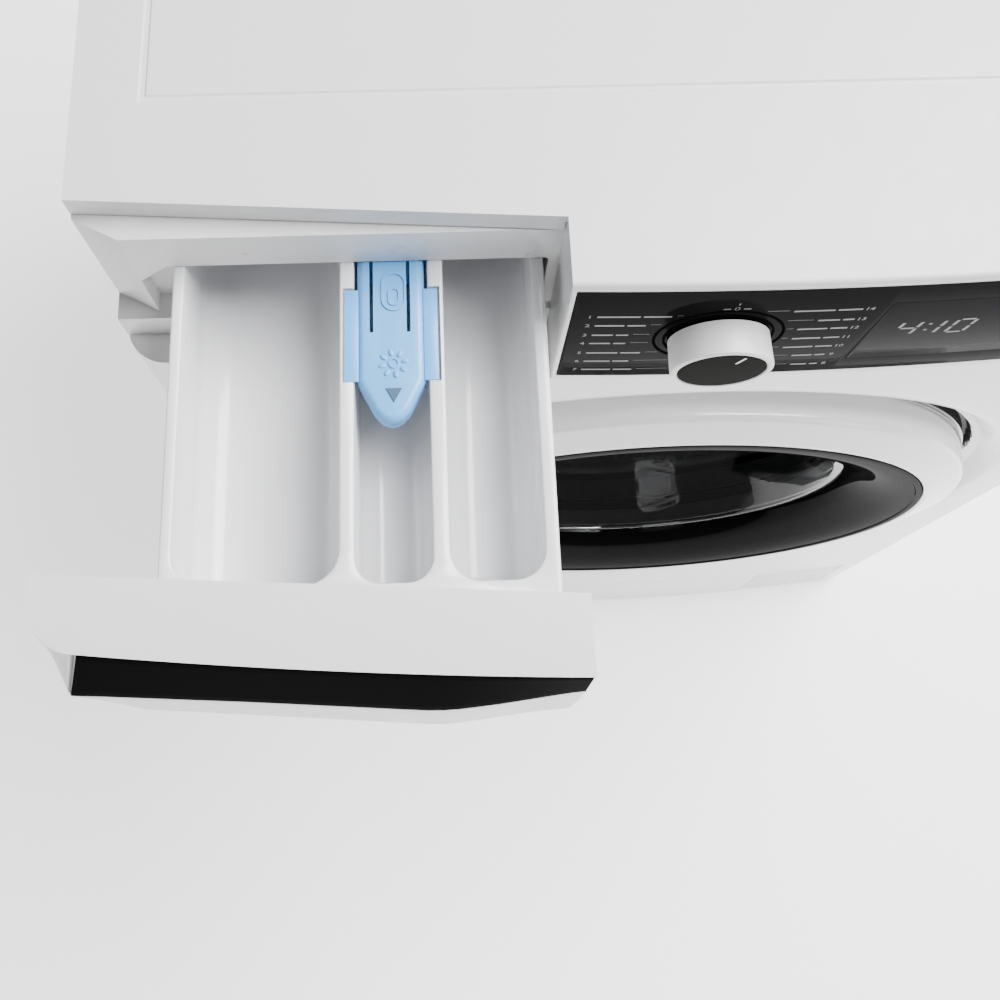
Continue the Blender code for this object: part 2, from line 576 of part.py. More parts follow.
# ---- tub, drum and drive ---------------------------------------------------------------------
tub_front = lathe("tub_front", [(176, 50), (182, 50), (182, 64), (262, 64), (268, 70), (268, 150),
                                (276, 150), (276, 158), (264, 158), (264, 72), (258, 68),
                                (176, 68)], "tub", steps=36)
for n, hx in enumerate((-28.0, 28.0)):
    apply(tub_front, lathe("cut_heater_%d" % n, [(0, 55), (4.2, 55), (4.2, 80), (0, 80)],
                           at=(hx, DOOR_Z - 252.0), steps=16))
lathe("door_gasket", [(169.6, 23), (177.6, 23), (177.6, 26), (187.5, 30), (187.5, 40), (183, 45),
                      (186, 51), (186, 62), (182.4, 62), (182.4, 49.5), (176, 46.5), (160, 46.5),
                      (158, 43), (166, 41), (169.6, 38)], "rubber", steps=36)
tub_rear = lathe("tub_rear", [(276, 158.3), (276, 166), (268, 166), (268, 405), (256, 418),
                              (70, 424), (34, 452), (12.7, 452), (12.7, 416), (250, 412), (264, 400),
                              (264, 158.3)], "tub", steps=36)
apply(tub_rear, lathe("join_spigot", [(0, -198), (19, -198), (19, -166), (0, -166)],
                      at=(-150.0, 240.0), steps=24, axis="z"), "UNION")
apply(tub_rear, lathe("cut_spigot", [(0, -230), (15, -230), (15, -150), (0, -150)],
                      at=(-150.0, 240.0), steps=24, axis="z"))
apply(tub_rear, lathe("join_sump", [(0, -690), (22, -690), (22, -655), (0, -655)],
                      at=(60.0, 200.0), steps=24, axis="z"), "UNION")
apply(tub_rear, lathe("cut_sump", [(0, -700), (17, -700), (17, -640), (0, -640)],
                      at=(60.0, 200.0), steps=24, axis="z"))
lathe("drum", [(0, 392), (232, 392), (241.8, 384), (241.8, 92), (229, 76.2), (181, 76.2),
               (179, 82), (177.6, 82), (179.6, 75), (229.6, 75), (243, 91.6), (243, 384.6),
               (232.6, 393.2), (0, 393.2)], "steel", steps=40)
for n in range(3):
    turn = math.radians(90 + 120 * n)
    base = [(w, math.sqrt(240.3 ** 2 - w * w)) for w in (-32, -16, 0, 16, 32)]
    section = base + [(20, 206), (9, 190), (-9, 190), (-20, 206)]
    ca, sa = math.cos(turn), math.sin(turn)
    pts = [(r * ca - w * sa, DOOR_Z + r * sa + w * ca) for w, r in section]
    prism_y("drum_lifter_%d" % (n + 1), pts, 104, 372, "steel")
spider = lathe("drum_spider", [(0, 393.6), (40, 393.6), (40, 404), (12.3, 412), (12.3, 486),
                               (9, 488), (0, 488)], "zinc", steps=20)
for n in range(3):
    turn = math.radians(30 + 120 * n)
    ca, sa = math.cos(turn), math.sin(turn)
    arm = [(r * ca - w * sa, DOOR_Z + r * sa + w * ca)
           for r, w in ((20, -16), (222, -10), (222, 10), (20, 16))]
    apply(spider, prism_y("join_arm_%d" % n, arm, 393.8, 402), "UNION")
pulley = lathe("drum_pulley", [(12.6, 458), (24, 458), (24, 466), (128, 466), (130, 460),
                               (PULLEY_R, 460), (PULLEY_R, 476), (130, 476), (128, 470),
                               (24, 470), (24, 482), (12.6, 482)], "zinc", steps=36)
for n in range(5):
    turn = 2 * math.pi * n / 5
    apply(pulley, lathe("cut_pulley_%d" % n, [(0, 440), (32, 440), (32, 500), (0, 500)],
                        at=(76 * math.cos(turn), DOOR_Z + 76 * math.sin(turn)), steps=12))
lathe("motor_pulley", [(0, 458.6), (14.5, 458.6), (14.5, 460), (MOTOR_PULLEY_R, 460.4),
                       (MOTOR_PULLEY_R, 476), (14.5, 476.4), (14.5, 478), (0, 478)], "zinc",
      at=(MOTOR_X, MOTOR_Z), steps=18)
motor = lathe("motor", [(0, 300), (30, 300), (34, 306), (MOTOR_R, 310), (MOTOR_R, 430),
                        (34, 436), (16, 442), (16, 452), (0, 452)], "zinc",
              at=(MOTOR_X, MOTOR_Z), steps=24)
apply(motor, block("join_mount", (80, 330, -680), (105, 410, -666)), "UNION")
apply(motor, block("join_mount_leg", (88, 350, -700), (98, 390, -670)), "UNION")

spacing = math.hypot(MOTOR_X, MOTOR_Z - DOOR_Z)
lean = math.atan2(MOTOR_Z - DOOR_Z, MOTOR_X)
swing = math.acos((PULLEY_R - MOTOR_PULLEY_R) / spacing)


def belt_loop(extra):
    pts = []
    for k in range(29):
        t = lean + swing + (2 * math.pi - 2 * swing) * k / 28
        r = PULLEY_R + extra
        pts.append((r * math.cos(t), DOOR_Z + r * math.sin(t)))
    for k in range(9):
        t = lean - swing + 2 * swing * k / 8
        r = MOTOR_PULLEY_R + extra
        pts.append((MOTOR_X + r * math.cos(t), MOTOR_Z + r * math.sin(t)))
    return pts


bm = bmesh.new()
skin(bm, [[put(x, y, z) for x, z in belt_loop(e)] for e, y in ((0.5, 462), (2.6, 462),
                                                               (2.6, 474), (0.5, 474))],
     wrap=True)
add("drive_belt", bm, "dark")

# ---- masses, suspension, heater, pump, valve and hoses ---------------------------------------
arc = [math.radians(38 + 104 * k / 14) for k in range(15)]
prism_y("front_counterweight", [(258 * math.cos(t), DOOR_Z + 258 * math.sin(t)) for t in arc]
        + [(198 * math.cos(t), DOOR_Z + 198 * math.sin(t)) for t in reversed(arc)], 32, 63.6,
        "concrete")
soften(block("top_counterweight", (-72, 190, -131), (205, 390, -72), "concrete"), 6, 1)
for side, tag in ((-1, "left"), (1, "right")):
    turns, per = 9, 8
    top, low = Vector((side * 281, 372, -62)), Vector((side * 246, 372, -226))
    line = (low - top).normalized()
    u = Vector((0, 1, 0))
    v = line.cross(u)
    path = [top]
    for k in range(turns * per + 1):
        t = k / (turns * per)
        centre = top + (low - top) * (0.1 + 0.8 * t)
        angle = 2 * math.pi * turns * t
        path.append(centre + (u * math.cos(angle) + v * math.sin(angle)) * 9.5)
    path.append(low)
    hose("suspension_spring_" + tag, path, 1.5, "steel", steps=4)
    rod("damper_" + tag, (side * 240, 240, -826), (side * 181, 240, -624),
        [(9, 0), (12, 2), (12, 110), (5, 111), (5, 203), (8, 204), (8, 210)], "dark", steps=16)

heater = hose("heater", [(-28, 56, DOOR_Z - 252), (-28, 330, DOOR_Z - 252),
                         (-24, 343, DOOR_Z - 252), (-12, 352, DOOR_Z - 252.5),
                         (12, 352, DOOR_Z - 252.5), (24, 343, DOOR_Z - 252),
                         (28, 330, DOOR_Z - 252), (28, 56, DOOR_Z - 252)], 3.6, "steel", steps=10)
apply(heater, block("join_plug", (-40, 50, DOOR_Z - 258), (40, 63.6, DOOR_Z - 245)), "UNION")

pump = lathe("drain_pump", [(0, 84), (22, 84), (22, 50), (34, 50), (34, 122), (26, 124),
                            (26, 182), (0, 182)], "dark", at=(PUMP_X, PUMP_Z), steps=20)
filter_cap = lathe("pump_filter", [(0, 31), (8, 31), (8, 36), (29, 38), (31, 40), (31, 47),
                                   (20.5, 48), (20.5, 80), (0, 80)], "dark",
                   at=(PUMP_X, PUMP_Z), steps=20)
apply(filter_cap, block("join_grip", (PUMP_X - 24, 26, PUMP_Z - 4), (PUMP_X + 24, 40, PUMP_Z + 4)),
      "UNION")
hose("sump_hose", rounded([(60, 200, -690.6), (60, 200, -742), (100, 110, -776),
                           (150, 95, PUMP_Z), (190, 95, PUMP_Z)], 30, 4), 15, "rubber", steps=10)
hose("drain_hose", rounded([(PUMP_X, 100, PUMP_Z + 35), (PUMP_X, 100, PUMP_Z + 55), (PUMP_X + 40, 120, PUMP_Z + 75),
                            (286.6, 200, -700), (286.6, 440, -300), (286.6, 486, -120),
                            (262, 500, -120), (262, 536, -120)], 26, 3), 10.5, "rubber", steps=8)
valve = block("inlet_valve", (-258, 470, -92), (-212, 512, -48), "white")
apply(valve, lathe("join_thread", [(0, 508), (13.2, 508), (13.2, REARMOST), (9, REARMOST),
                                   (9, 520), (0, 520)], at=(-235.0, -70.0), steps=28), "UNION")
apply(valve, lathe("join_outlet", [(0, 440), (7, 440), (7, 474), (0, 474)], at=(-235.0, -70.0),
                   steps=20), "UNION")
hose("inlet_hose", rounded([(-235, 439.5, -70), (-235, 400, -70), (-215, 370, -70),
                            (-215, 335.5, -70)], 20, 4), 7, "rubber", steps=12)
hose("fill_hose", rounded([(-180, 240, -124.4), (-180, 240, -140), (-150, 240, -150),
                           (-150, 240, -165.6)], 12, 4), 16, "rubber", steps=14)
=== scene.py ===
"""Front load washing machine with its detergent drawer pulled out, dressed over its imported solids.

Pieces are drawn in millimetres: X to the right, Y back from the middle of the control panel's
front edge, Z up from the top surface.
"""
import math

import bmesh
import bpy
from mathutils import Matrix, Vector


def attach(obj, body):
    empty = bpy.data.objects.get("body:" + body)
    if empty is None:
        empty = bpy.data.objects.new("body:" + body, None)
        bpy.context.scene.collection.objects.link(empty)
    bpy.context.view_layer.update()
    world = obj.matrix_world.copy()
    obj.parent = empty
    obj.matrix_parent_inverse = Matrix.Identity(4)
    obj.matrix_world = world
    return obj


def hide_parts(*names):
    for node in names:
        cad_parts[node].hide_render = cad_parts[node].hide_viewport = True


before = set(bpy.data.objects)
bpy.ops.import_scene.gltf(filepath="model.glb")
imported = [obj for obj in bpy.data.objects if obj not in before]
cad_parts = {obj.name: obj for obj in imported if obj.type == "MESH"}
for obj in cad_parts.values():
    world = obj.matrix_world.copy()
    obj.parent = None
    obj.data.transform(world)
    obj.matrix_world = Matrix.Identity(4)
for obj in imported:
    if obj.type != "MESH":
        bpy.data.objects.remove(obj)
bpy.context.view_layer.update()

# ---- studio ----------------------------------------------------------------------------------
# A plain pale floor and broad soft lamps. The eye is above the detergent drawer, a little in
# front of it, looking steeply down.
TO_FRAME = Matrix.Translation((0.0, -0.1875, 0.850)) @ Matrix.Scale(0.001, 4)


def put(tree, socket, value):
    """Links a socket to another one, or sets its plain value."""
    if isinstance(value, bpy.types.NodeSocket):
        tree.links.new(value, socket)
    else:
        socket.default_value = value


def fill(tree, node, **sockets):
    for name, value in sockets.items():
        put(tree, node.inputs[name.replace("_", " ")], value)
    return node


def add_node(tree, kind, settings=None, **sockets):
    made = tree.nodes.new(kind)
    for name, value in (settings or {}).items():
        setattr(made, name, value)
    return fill(tree, made, **sockets)


def mixed(tree, share, first, second):
    """A colour that goes from the first to the second with the share."""
    made = add_node(tree, "ShaderNodeMix", {"data_type": "RGBA"})
    for place, value in (("Factor", share), (6, first), (7, second)):
        put(tree, made.inputs[place], value)
    return made.outputs[2]


def blank_material(name):
    material = bpy.data.materials.new(name)
    material.use_nodes = True
    return material, material.node_tree, material.node_tree.nodes["Principled BSDF"]


def stand(name, data):
    """Puts a new object into the scene."""
    made = bpy.data.objects.new(name, data)
    bpy.context.scene.collection.objects.link(made)
    return made


lens = bpy.data.cameras.new("camera")
lens.lens, lens.sensor_width = 41.877, 36.0
lens.shift_x, lens.shift_y = 0.04408, -0.10931
lens.clip_start = 0.01
camera = stand("camera", lens)
camera.location = (-0.14338, -0.38081, 1.28858)
camera.rotation_euler = (0.331389, -0.006163, -0.029995)
bpy.context.scene.camera = camera

bm = bmesh.new()
FLOOR_HALF = 9.0
bmesh.ops.create_grid(bm, x_segments=2, y_segments=2, size=FLOOR_HALF)
floor_mesh = bpy.data.meshes.new("studio_floor")
bm.to_mesh(floor_mesh)
bm.free()
studio_floor = stand("studio_floor", floor_mesh)
floor_paint, tree, shader = blank_material("studio floor")
cloud = add_node(tree, "ShaderNodeTexNoise", Scale=2.0)
pale = mixed(tree, cloud.outputs["Fac"], (0.96, 0.96, 0.96, 1), (0.99, 0.99, 0.99, 1))
fill(tree, shader, Base_Color=pale, Roughness=0.9, Emission_Color=(1, 1, 1, 1),
     Emission_Strength=1.3)
floor_mesh.materials.append(floor_paint)

sky = bpy.data.worlds.new("studio")
sky.use_nodes = True
fill(sky.node_tree, sky.node_tree.nodes["Background"], Color=(1, 1, 1, 1), Strength=0.27)
bpy.context.scene.world = sky


def soft_lamp(name, spot, aim, size, power):
    lamp = bpy.data.lights.new(name, "AREA")
    lamp.shape = "RECTANGLE"
    lamp.size, lamp.size_y = size
    lamp.energy = power
    holder = stand(name, lamp)
    holder.location = spot
    holder.rotation_euler = (Vector(aim) - Vector(spot)).to_track_quat("-Z", "Y").to_euler()


soft_lamp("overhead", (1.2, 0.3, 2.7), (0.1, 0.0, 0.8), (1.8, 1.8), 225)
soft_lamp("right front", (2.6, -1.6, 1.5), (0.0, -0.1, 0.5), (1.4, 1.4), 26)


# ---- white finishes --------------------------------------------------------------------------
# The cabinet and front are sheet steel in baked white enamel. The control panel, drawer, door
# ring and top are moulded white plastic with a slightly duller skin.
def new_group(name, takes, gives):
    tree = bpy.data.node_groups.new(name, "ShaderNodeTree")
    for label, kind, start in takes:
        socket = tree.interface.new_socket(label, in_out="INPUT", socket_type=kind)
        socket.default_value = start
    for label, kind in gives:
        tree.interface.new_socket(label, in_out="OUTPUT", socket_type=kind)
    return tree, tree.nodes.new("NodeGroupInput").outputs, tree.nodes.new("NodeGroupOutput").inputs


FLOAT, COLOR, VECTOR = "NodeSocketFloat", "NodeSocketColor", "NodeSocketVector"
SKIN_GIVES = (("Color", COLOR), ("Roughness", FLOAT), ("Height", FLOAT))
skin_group, given, out = new_group(
    "moulded skin",
    (("Light", COLOR, (0.8, 0.8, 0.8, 1)), ("Dark", COLOR, (0.7, 0.7, 0.7, 1)),
     ("Patch", FLOAT, 7.0), ("Rough Low", FLOAT, 0.3), ("Rough High", FLOAT, 0.4),
     ("Grain", FLOAT, 900.0), ("Stretch", VECTOR, (1.0, 1.0, 1.0))), SKIN_GIVES)
spot = add_node(skin_group, "ShaderNodeTexCoord").outputs["Object"]
stretched = add_node(skin_group, "ShaderNodeVectorMath", {"operation": "MULTIPLY"})
skin_group.links.new(spot, stretched.inputs[0])
skin_group.links.new(given["Stretch"], stretched.inputs[1])
patches = add_node(skin_group, "ShaderNodeTexNoise", Vector=spot, Scale=given["Patch"], Detail=3.0)
tone = mixed(skin_group, patches.outputs["Fac"], given["Dark"], given["Light"])
smears = add_node(skin_group, "ShaderNodeTexNoise", Vector=stretched.outputs["Vector"],
                  Scale=46.0, Detail=4.0)
sheen = add_node(skin_group, "ShaderNodeMapRange", Value=smears.outputs["Fac"], From_Min=0.3,
                 From_Max=0.7, To_Min=given["Rough Low"], To_Max=given["Rough High"])
grain = add_node(skin_group, "ShaderNodeTexNoise", Vector=stretched.outputs["Vector"],
                 Scale=given["Grain"], Detail=2.0)
skin_group.links.new(tone, out["Color"])
skin_group.links.new(sheen.outputs["Result"], out["Roughness"])
skin_group.links.new(grain.outputs["Fac"], out["Height"])


def skinned(name, light, dark, rough, grain=900.0, relief=0.05, patch=7.0, stretch=(1, 1, 1),
            **plain):
    """A finish from the moulded skin group; what is the same all over goes on the shader."""
    material, tree, shader = blank_material(name)
    skin = add_node(tree, "ShaderNodeGroup", {"node_tree": skin_group}, Light=(*light, 1),
                    Dark=(*dark, 1), Patch=patch, Rough_Low=rough[0], Rough_High=rough[1],
                    Grain=grain, Stretch=stretch)
    bump = add_node(tree, "ShaderNodeBump", Strength=relief, Distance=0.0006,
                    Height=skin.outputs["Height"])
    fill(tree, shader, Base_Color=skin.outputs["Color"], Roughness=skin.outputs["Roughness"],
         Normal=bump.outputs["Normal"], **plain)
    return material


ENAMEL = skinned("white enamel", (0.755, 0.755, 0.75), (0.73, 0.73, 0.725), (0.20, 0.27), 420,
                 0.04, Coat_Weight=0.35, Coat_Roughness=0.12)
WHITE = skinned("white plastic", (0.755, 0.755, 0.75), (0.73, 0.73, 0.725), (0.27, 0.36), 1100,
                0.05)
TOP_WHITE = skinned("white top", (0.725, 0.725, 0.72), (0.705, 0.705, 0.70), (0.33, 0.42), 800,
                    0.08)

# ---- top cover -------------------------------------------------------------------------------
# One white moulding with a shallow rectangular tray pressed into it. Its front edge is rolled
# over the control panel and steps back over the drawer.
HALF, BODY_BACK, CORNER_R = 300.0, 525.0, 20.0
NOTCH_X, COVER_L = -86.5, -87.2
BOW_R = 2568.0
WELL_X, WELL_FRONT, WELL_BACK = 271.0, 94.0, 505.0
RIM_UNDER, RIM_DEPTH, RIM_BACK = -5.0, 7.0, 46.4


def bow(x):
    """How far the gently curved front lies back at x."""
    return min(abs(x), HALF - CORNER_R) ** 2 / (2 * BOW_R)


def bend(bm, deepest=1000.0, shift=0.0):
    """Bows the flat front of a piece; what lies deeper than that stays straight."""
    for vert in bm.verts:
        if vert.co.y < deepest:
            vert.co.y += bow(vert.co.x) + shift


def plate(bm, points, offset):
    """A flat face through a few points, pulled out by the offset into a closed block."""
    face = bm.faces.new([bm.verts.new(p) for p in points])
    return pull(bm, [face], offset)


def verts_in(geom):
    return [g for g in geom if isinstance(g, bmesh.types.BMVert)]


def pull(bm, faces, offset):
    """Pulls a patch of faces out or in with walls behind it, and gives back the moved patch."""
    patch = set(faces)
    joined = any(f not in patch for face in faces for e in face.edges for f in e.link_faces)
    made = bmesh.ops.extrude_face_region(bm, geom=list(faces))["geom"]
    bmesh.ops.translate(bm, verts=verts_in(made), vec=offset)
    moved = [g for g in made if isinstance(g, bmesh.types.BMFace)]
    if joined:
        bmesh.ops.delete(bm, geom=[f for f in faces if f.is_valid], context="FACES")
    return moved


def sink(bm, faces, border, depth):
    """Presses a patch of faces in, leaving a sloping border round it."""
    bmesh.ops.recalc_face_normals(bm, faces=bm.faces)
    bmesh.ops.inset_region(bm, faces=faces, thickness=border, depth=-depth, use_even_offset=True)


def cut_across(bm, axis, places):
    """Cuts extra edge loops through a mesh."""
    normal = Vector([1.0 if k == "xyz".index(axis) else 0.0 for k in range(3)])
    for place in places:
        bmesh.ops.bisect_plane(bm, geom=bm.verts[:] + bm.edges[:] + bm.faces[:], dist=1e-4,
                               plane_co=normal * place, plane_no=normal)


def span(low, high, step):
    """Even places between two ends, about a step apart."""
    count = max(1, round((high - low) / step))
    return [low + (high - low) * k / count for k in range(1, count)]


def ease(bm, width, segments=3, angle=30.0, keep=None):
    """Rounds every edge sharper than the angle, or those of them that keep() picks."""
    bmesh.ops.recalc_face_normals(bm, faces=bm.faces)
    limit = math.radians(angle)
    edges = [e for e in bm.edges if len(e.link_faces) == 2 and e.calc_face_angle(0.0) > limit
             and (keep is None or keep(e))]
    bmesh.ops.bevel(bm, geom=edges, offset=width, segments=segments, affect="EDGES",
                    clamp_overlap=True, profile=0.5, material=-1)


def at_corner(edge, x, y):
    return all(abs(v.co.x - x) < 0.01 and abs(v.co.y - y) < 0.01 for v in edge.verts)


def runs(edge, axis, least=1.0):
    """True for an edge that goes further than this along x, y or z."""
    k = "xyz".index(axis)
    return abs(edge.verts[0].co[k] - edge.verts[1].co[k]) > least


def ahead_of(y):
    """A test that keeps the edges in front of y."""
    return lambda edge: max(v.co.y for v in edge.verts) < y


def faces_where(bm, test):
    return [f for f in bm.faces if test(f.calc_center_median(), f)]


def settle(name, bm, body, materials, stands_for=(), smooth=35.0, merge=0.004):
    """Closes the mesh, puts it in the frame's place and size, and rides it on its body."""
    bmesh.ops.remove_doubles(bm, verts=bm.verts, dist=merge)
    bmesh.ops.recalc_face_normals(bm, faces=bm.faces)
    bmesh.ops.transform(bm, matrix=TO_FRAME, verts=bm.verts)
    mesh = bpy.data.meshes.new(name)
    bm.to_mesh(mesh)
    bm.free()
    for material in materials:
        mesh.materials.append(material)
    mesh.polygons.foreach_set("use_smooth", [True] * len(mesh.polygons))
    mesh.set_sharp_from_angle(angle=math.radians(smooth))
    piece = stand(name, mesh)
    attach(piece, body)
    if stands_for:
        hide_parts(*stands_for)
    return piece


bm = bmesh.new()
plate(bm, [(NOTCH_X, 33.64, 0), (NOTCH_X, 0, 0), (HALF, 0, 0), (HALF, BODY_BACK - 1, 0),
           (-HALF, BODY_BACK - 1, 0), (-HALF, 47.07, 0)], (0, 0, RIM_UNDER))
ease(bm, CORNER_R, 8, 30, lambda e: at_corner(e, HALF, 0))
cut_across(bm, "x", [-WELL_X, COVER_L, WELL_X] + span(NOTCH_X, HALF - CORNER_R, 18))
cut_across(bm, "y", [RIM_BACK, WELL_FRONT, WELL_BACK])
under = faces_where(bm, lambda c, f: c.z < RIM_UNDER + 0.1 and (c.y > RIM_BACK or c.x < COVER_L))
pull(bm, under, (0, 0, -RIM_DEPTH))
well = faces_where(bm, lambda c, f: c.z > -0.1 and abs(c.x) < WELL_X
                   and WELL_FRONT < c.y < WELL_BACK)
sink(bm, well, 0.9, 1.0)
sink(bm, well, 2.0, 0.0)
sink(bm, well, 0.9, -0.7)
ease(bm, 3.4, 5, 50, lambda e: min(v.co.z for v in e.verts) > -0.05
     and max(v.co.y for v in e.verts) < 30 and min(v.co.x for v in e.verts) > NOTCH_X - 0.1)
ease(bm, 1.2, 3, 50)
bend(bm, 28.0)
settle("top_moulding", bm, "machine", [TOP_WHITE], ["top_cover"])

# ---- control panel surround and fascia -------------------------------------------------------
# White moulding that wraps the right front corner and carries the black strip in a shallow
# seat. It is clipped under the top cover and screwed to the cabinet.
STRIP_L, STRIP_R, STRIP_BOT, STRIP_TOP = -84.0, 280.0, -108.0, -5.6
WALL, SEAT_GAP, SEAT_DEEP = 2.4, 0.3, 2.3


def sheet_wall(bm, path, z_low, z_high):
    """An upright sheet along a few plan points."""
    verts = [bm.verts.new((x, y, z_low)) for x, y in path]
    edges = [bm.edges.new(pair) for pair in zip(verts, verts[1:])]
    made = bmesh.ops.extrude_edge_only(bm, edges=edges)["geom"]
    bmesh.ops.translate(bm, verts=verts_in(made), vec=(0, 0, z_high - z_low))


bm = bmesh.new()
sheet_wall(bm, [(NOTCH_X, 34.0), (NOTCH_X, 0), (HALF, 0), (HALF, 28.8)], -112.6, -5.3)
bmesh.ops.recalc_face_normals(bm, faces=bm.faces)
ease(bm, CORNER_R, 8, 30, lambda e: at_corner(e, HALF, 0))
ease(bm, 0.9, 3, 60, lambda e: at_corner(e, NOTCH_X, 0))
cut_across(bm, "x", [STRIP_L - SEAT_GAP, STRIP_R + SEAT_GAP] + span(STRIP_L, STRIP_R, 18))
cut_across(bm, "z", [STRIP_BOT - SEAT_GAP, STRIP_TOP + 0.1])
seat = faces_where(bm, lambda c, f: STRIP_L - SEAT_GAP < c.x < STRIP_R + SEAT_GAP and c.y < 0.1
                   and STRIP_BOT - SEAT_GAP < c.z < STRIP_TOP + 0.1)
bmesh.ops.inset_region(bm, faces=seat, thickness=0.05, depth=0.0, use_even_offset=True)
bmesh.ops.translate(bm, verts=list({v for f in seat for v in f.verts}), vec=(0, SEAT_DEEP, 0))
bend(bm)
bmesh.ops.solidify(bm, geom=bm.faces[:], thickness=WALL)
settle("control_fascia", bm, "machine", [WHITE], ["fascia"])

# ---- control strip ---------------------------------------------------------------------------
# Gloss black acrylic, printed from behind with the programme scale and fitted into the fascia.
# A shallow ring round the knob is moulded into it.
JET, DEEP_JET = (0.004, 0.004, 0.004), (0.003, 0.003, 0.003)


def blacked(name, rough, grain, relief, coat, coat_rough, light=JET, dark=DEEP_JET):
    """A black that shines only through its thin clear coat."""
    return skinned(name, light, dark, rough, grain, relief, Specular_IOR_Level=0.0,
                   Coat_Weight=coat, Coat_Roughness=coat_rough)


GLOSS = blacked("gloss black", (0.05, 0.09), 260, 0.015, 0.07, 0.04)
GROOVE = skinned("matt groove", JET, DEEP_JET, (0.35, 0.5), 1500, 0.1, Specular_IOR_Level=0.0)
PRINT = skinned("printed grey", (0.13, 0.13, 0.135), (0.085, 0.085, 0.09), (0.40, 0.50), 1500,
                0.02)
KNOB = Vector((-14.4, 0.0, -56.8))
START = Vector((247.0, 0.0, -58.0))
KEY_X, KEY_ZS = 201.0, (-44.0, -72.0)
WINDOW_X, WINDOW_Z, WINDOW_WIDE, WINDOW_HIGH, WINDOW_GAP = 112.0, -58.0, 113.0, 68.0, 0.5


def turned(bm, profile, about=(0.0, 0.0, 0.0), steps=128, axis="y", loop=True):
    """Spins (radius, distance) points about an upright or a front-to-back line."""
    line = Vector((0, 1, 0)) if axis == "y" else Vector((0, 0, 1))
    about = Vector(about)
    verts = [bm.verts.new(about + Vector((r, 0, 0)) + line * d) for r, d in profile]
    edges = [bm.edges.new(pair) for pair in zip(verts, verts[1:])]
    if loop and (profile[0][0] > 0.001 or profile[-1][0] > 0.001):
        edges.append(bm.edges.new((verts[-1], verts[0])))
    bmesh.ops.spin(bm, geom=verts + edges, cent=about, axis=line, angle=2 * math.pi, steps=steps,
                   use_merge=True, use_duplicate=False)
    bmesh.ops.remove_doubles(bm, verts=bm.verts, dist=0.002)


def carve(target, *cutters):
    """Takes each cutter's solid out of the target's, and gives back the target."""
    holders = []
    for solid in (target,) + cutters:
        bmesh.ops.recalc_face_normals(solid, faces=solid.faces)
        mesh = bpy.data.meshes.new("carving")
        solid.to_mesh(mesh)
        solid.free()
        holders.append(stand("carving", mesh))
    for holder in holders[1:]:
        change = holders[0].modifiers.new("cut", "BOOLEAN")
        change.operation, change.solver, change.object = "DIFFERENCE", "EXACT", holder
    done = bmesh.new()
    done.from_object(holders[0], bpy.context.evaluated_depsgraph_get())
    for holder in holders:
        mesh = holder.data
        bpy.data.objects.remove(holder)
        bpy.data.meshes.remove(mesh)
    return done


def cube(low, high):
    solid = bmesh.new()
    add_cube(solid, low, high)
    return solid


def add_cube(bm, low, high):
    size = Vector(high) - Vector(low)
    middle = (Vector(high) + Vector(low)) / 2
    matrix = Matrix.Translation(middle) @ Matrix.Diagonal((*size, 1.0))
    return bmesh.ops.create_cube(bm, size=1.0, matrix=matrix)["verts"]


def pill(x, z, width, height, radius, near, far):
    """A block with rounded ends seen from the front."""
    solid = bmesh.new()
    add_cube(solid, (x - width / 2, near, z - height / 2), (x + width / 2, far, z + height / 2))
    ease(solid, radius, 6, 30, lambda e: runs(e, "y", 0.01))
    return solid


def disc(x, z, radius, near, far, steps=64):
    solid = bmesh.new()
    turned(solid, [(0, near), (radius, near), (radius, far), (0, far)], (x, 0, z), steps)
    return solid


bm = bmesh.new()
plate(bm, [(STRIP_L, 0, STRIP_BOT), (STRIP_R, 0, STRIP_BOT), (STRIP_R, 0, STRIP_TOP),
           (STRIP_L, 0, STRIP_TOP)], (0, 2.0, 0))
ease(bm, 1.6, 4, 30, lambda e: runs(e, "y"))
ease(bm, 0.35, 2, 30, ahead_of(0.01))
cut_across(bm, "x", span(STRIP_L, STRIP_R, 9))
bend(bm)
holes = [disc(KNOB.x, KNOB.z, 7.0, -10, 20), disc(START.x, START.z, 13.4, -10, 20),
         pill(WINDOW_X, WINDOW_Z, WINDOW_WIDE + WINDOW_GAP, WINDOW_HIGH + WINDOW_GAP, 2.2, -10,
              20)]
holes += [pill(KEY_X, z, 22.8, 9.8, 4.4, -10, 20) for z in KEY_ZS]
bm = carve(bm, *holes)
settle("gloss_strip", bm, "machine", [GLOSS], ["control_strip"])

bm = bmesh.new()
turned(bm, [(28.6, 0.0), (28.6, -0.28), (28.9, -0.34), (29.6, -0.34), (29.9, -0.28), (29.9, 0.0)],
       KNOB, 96)
turned(bm, [(24.2, 0.0), (24.2, -0.5), (24.6, -0.6), (25.2, -0.5), (25.2, 0.0)], KNOB, 96)
bend(bm, 5, 0.02)
settle("knob_groove", bm, "machine", [GROOVE])

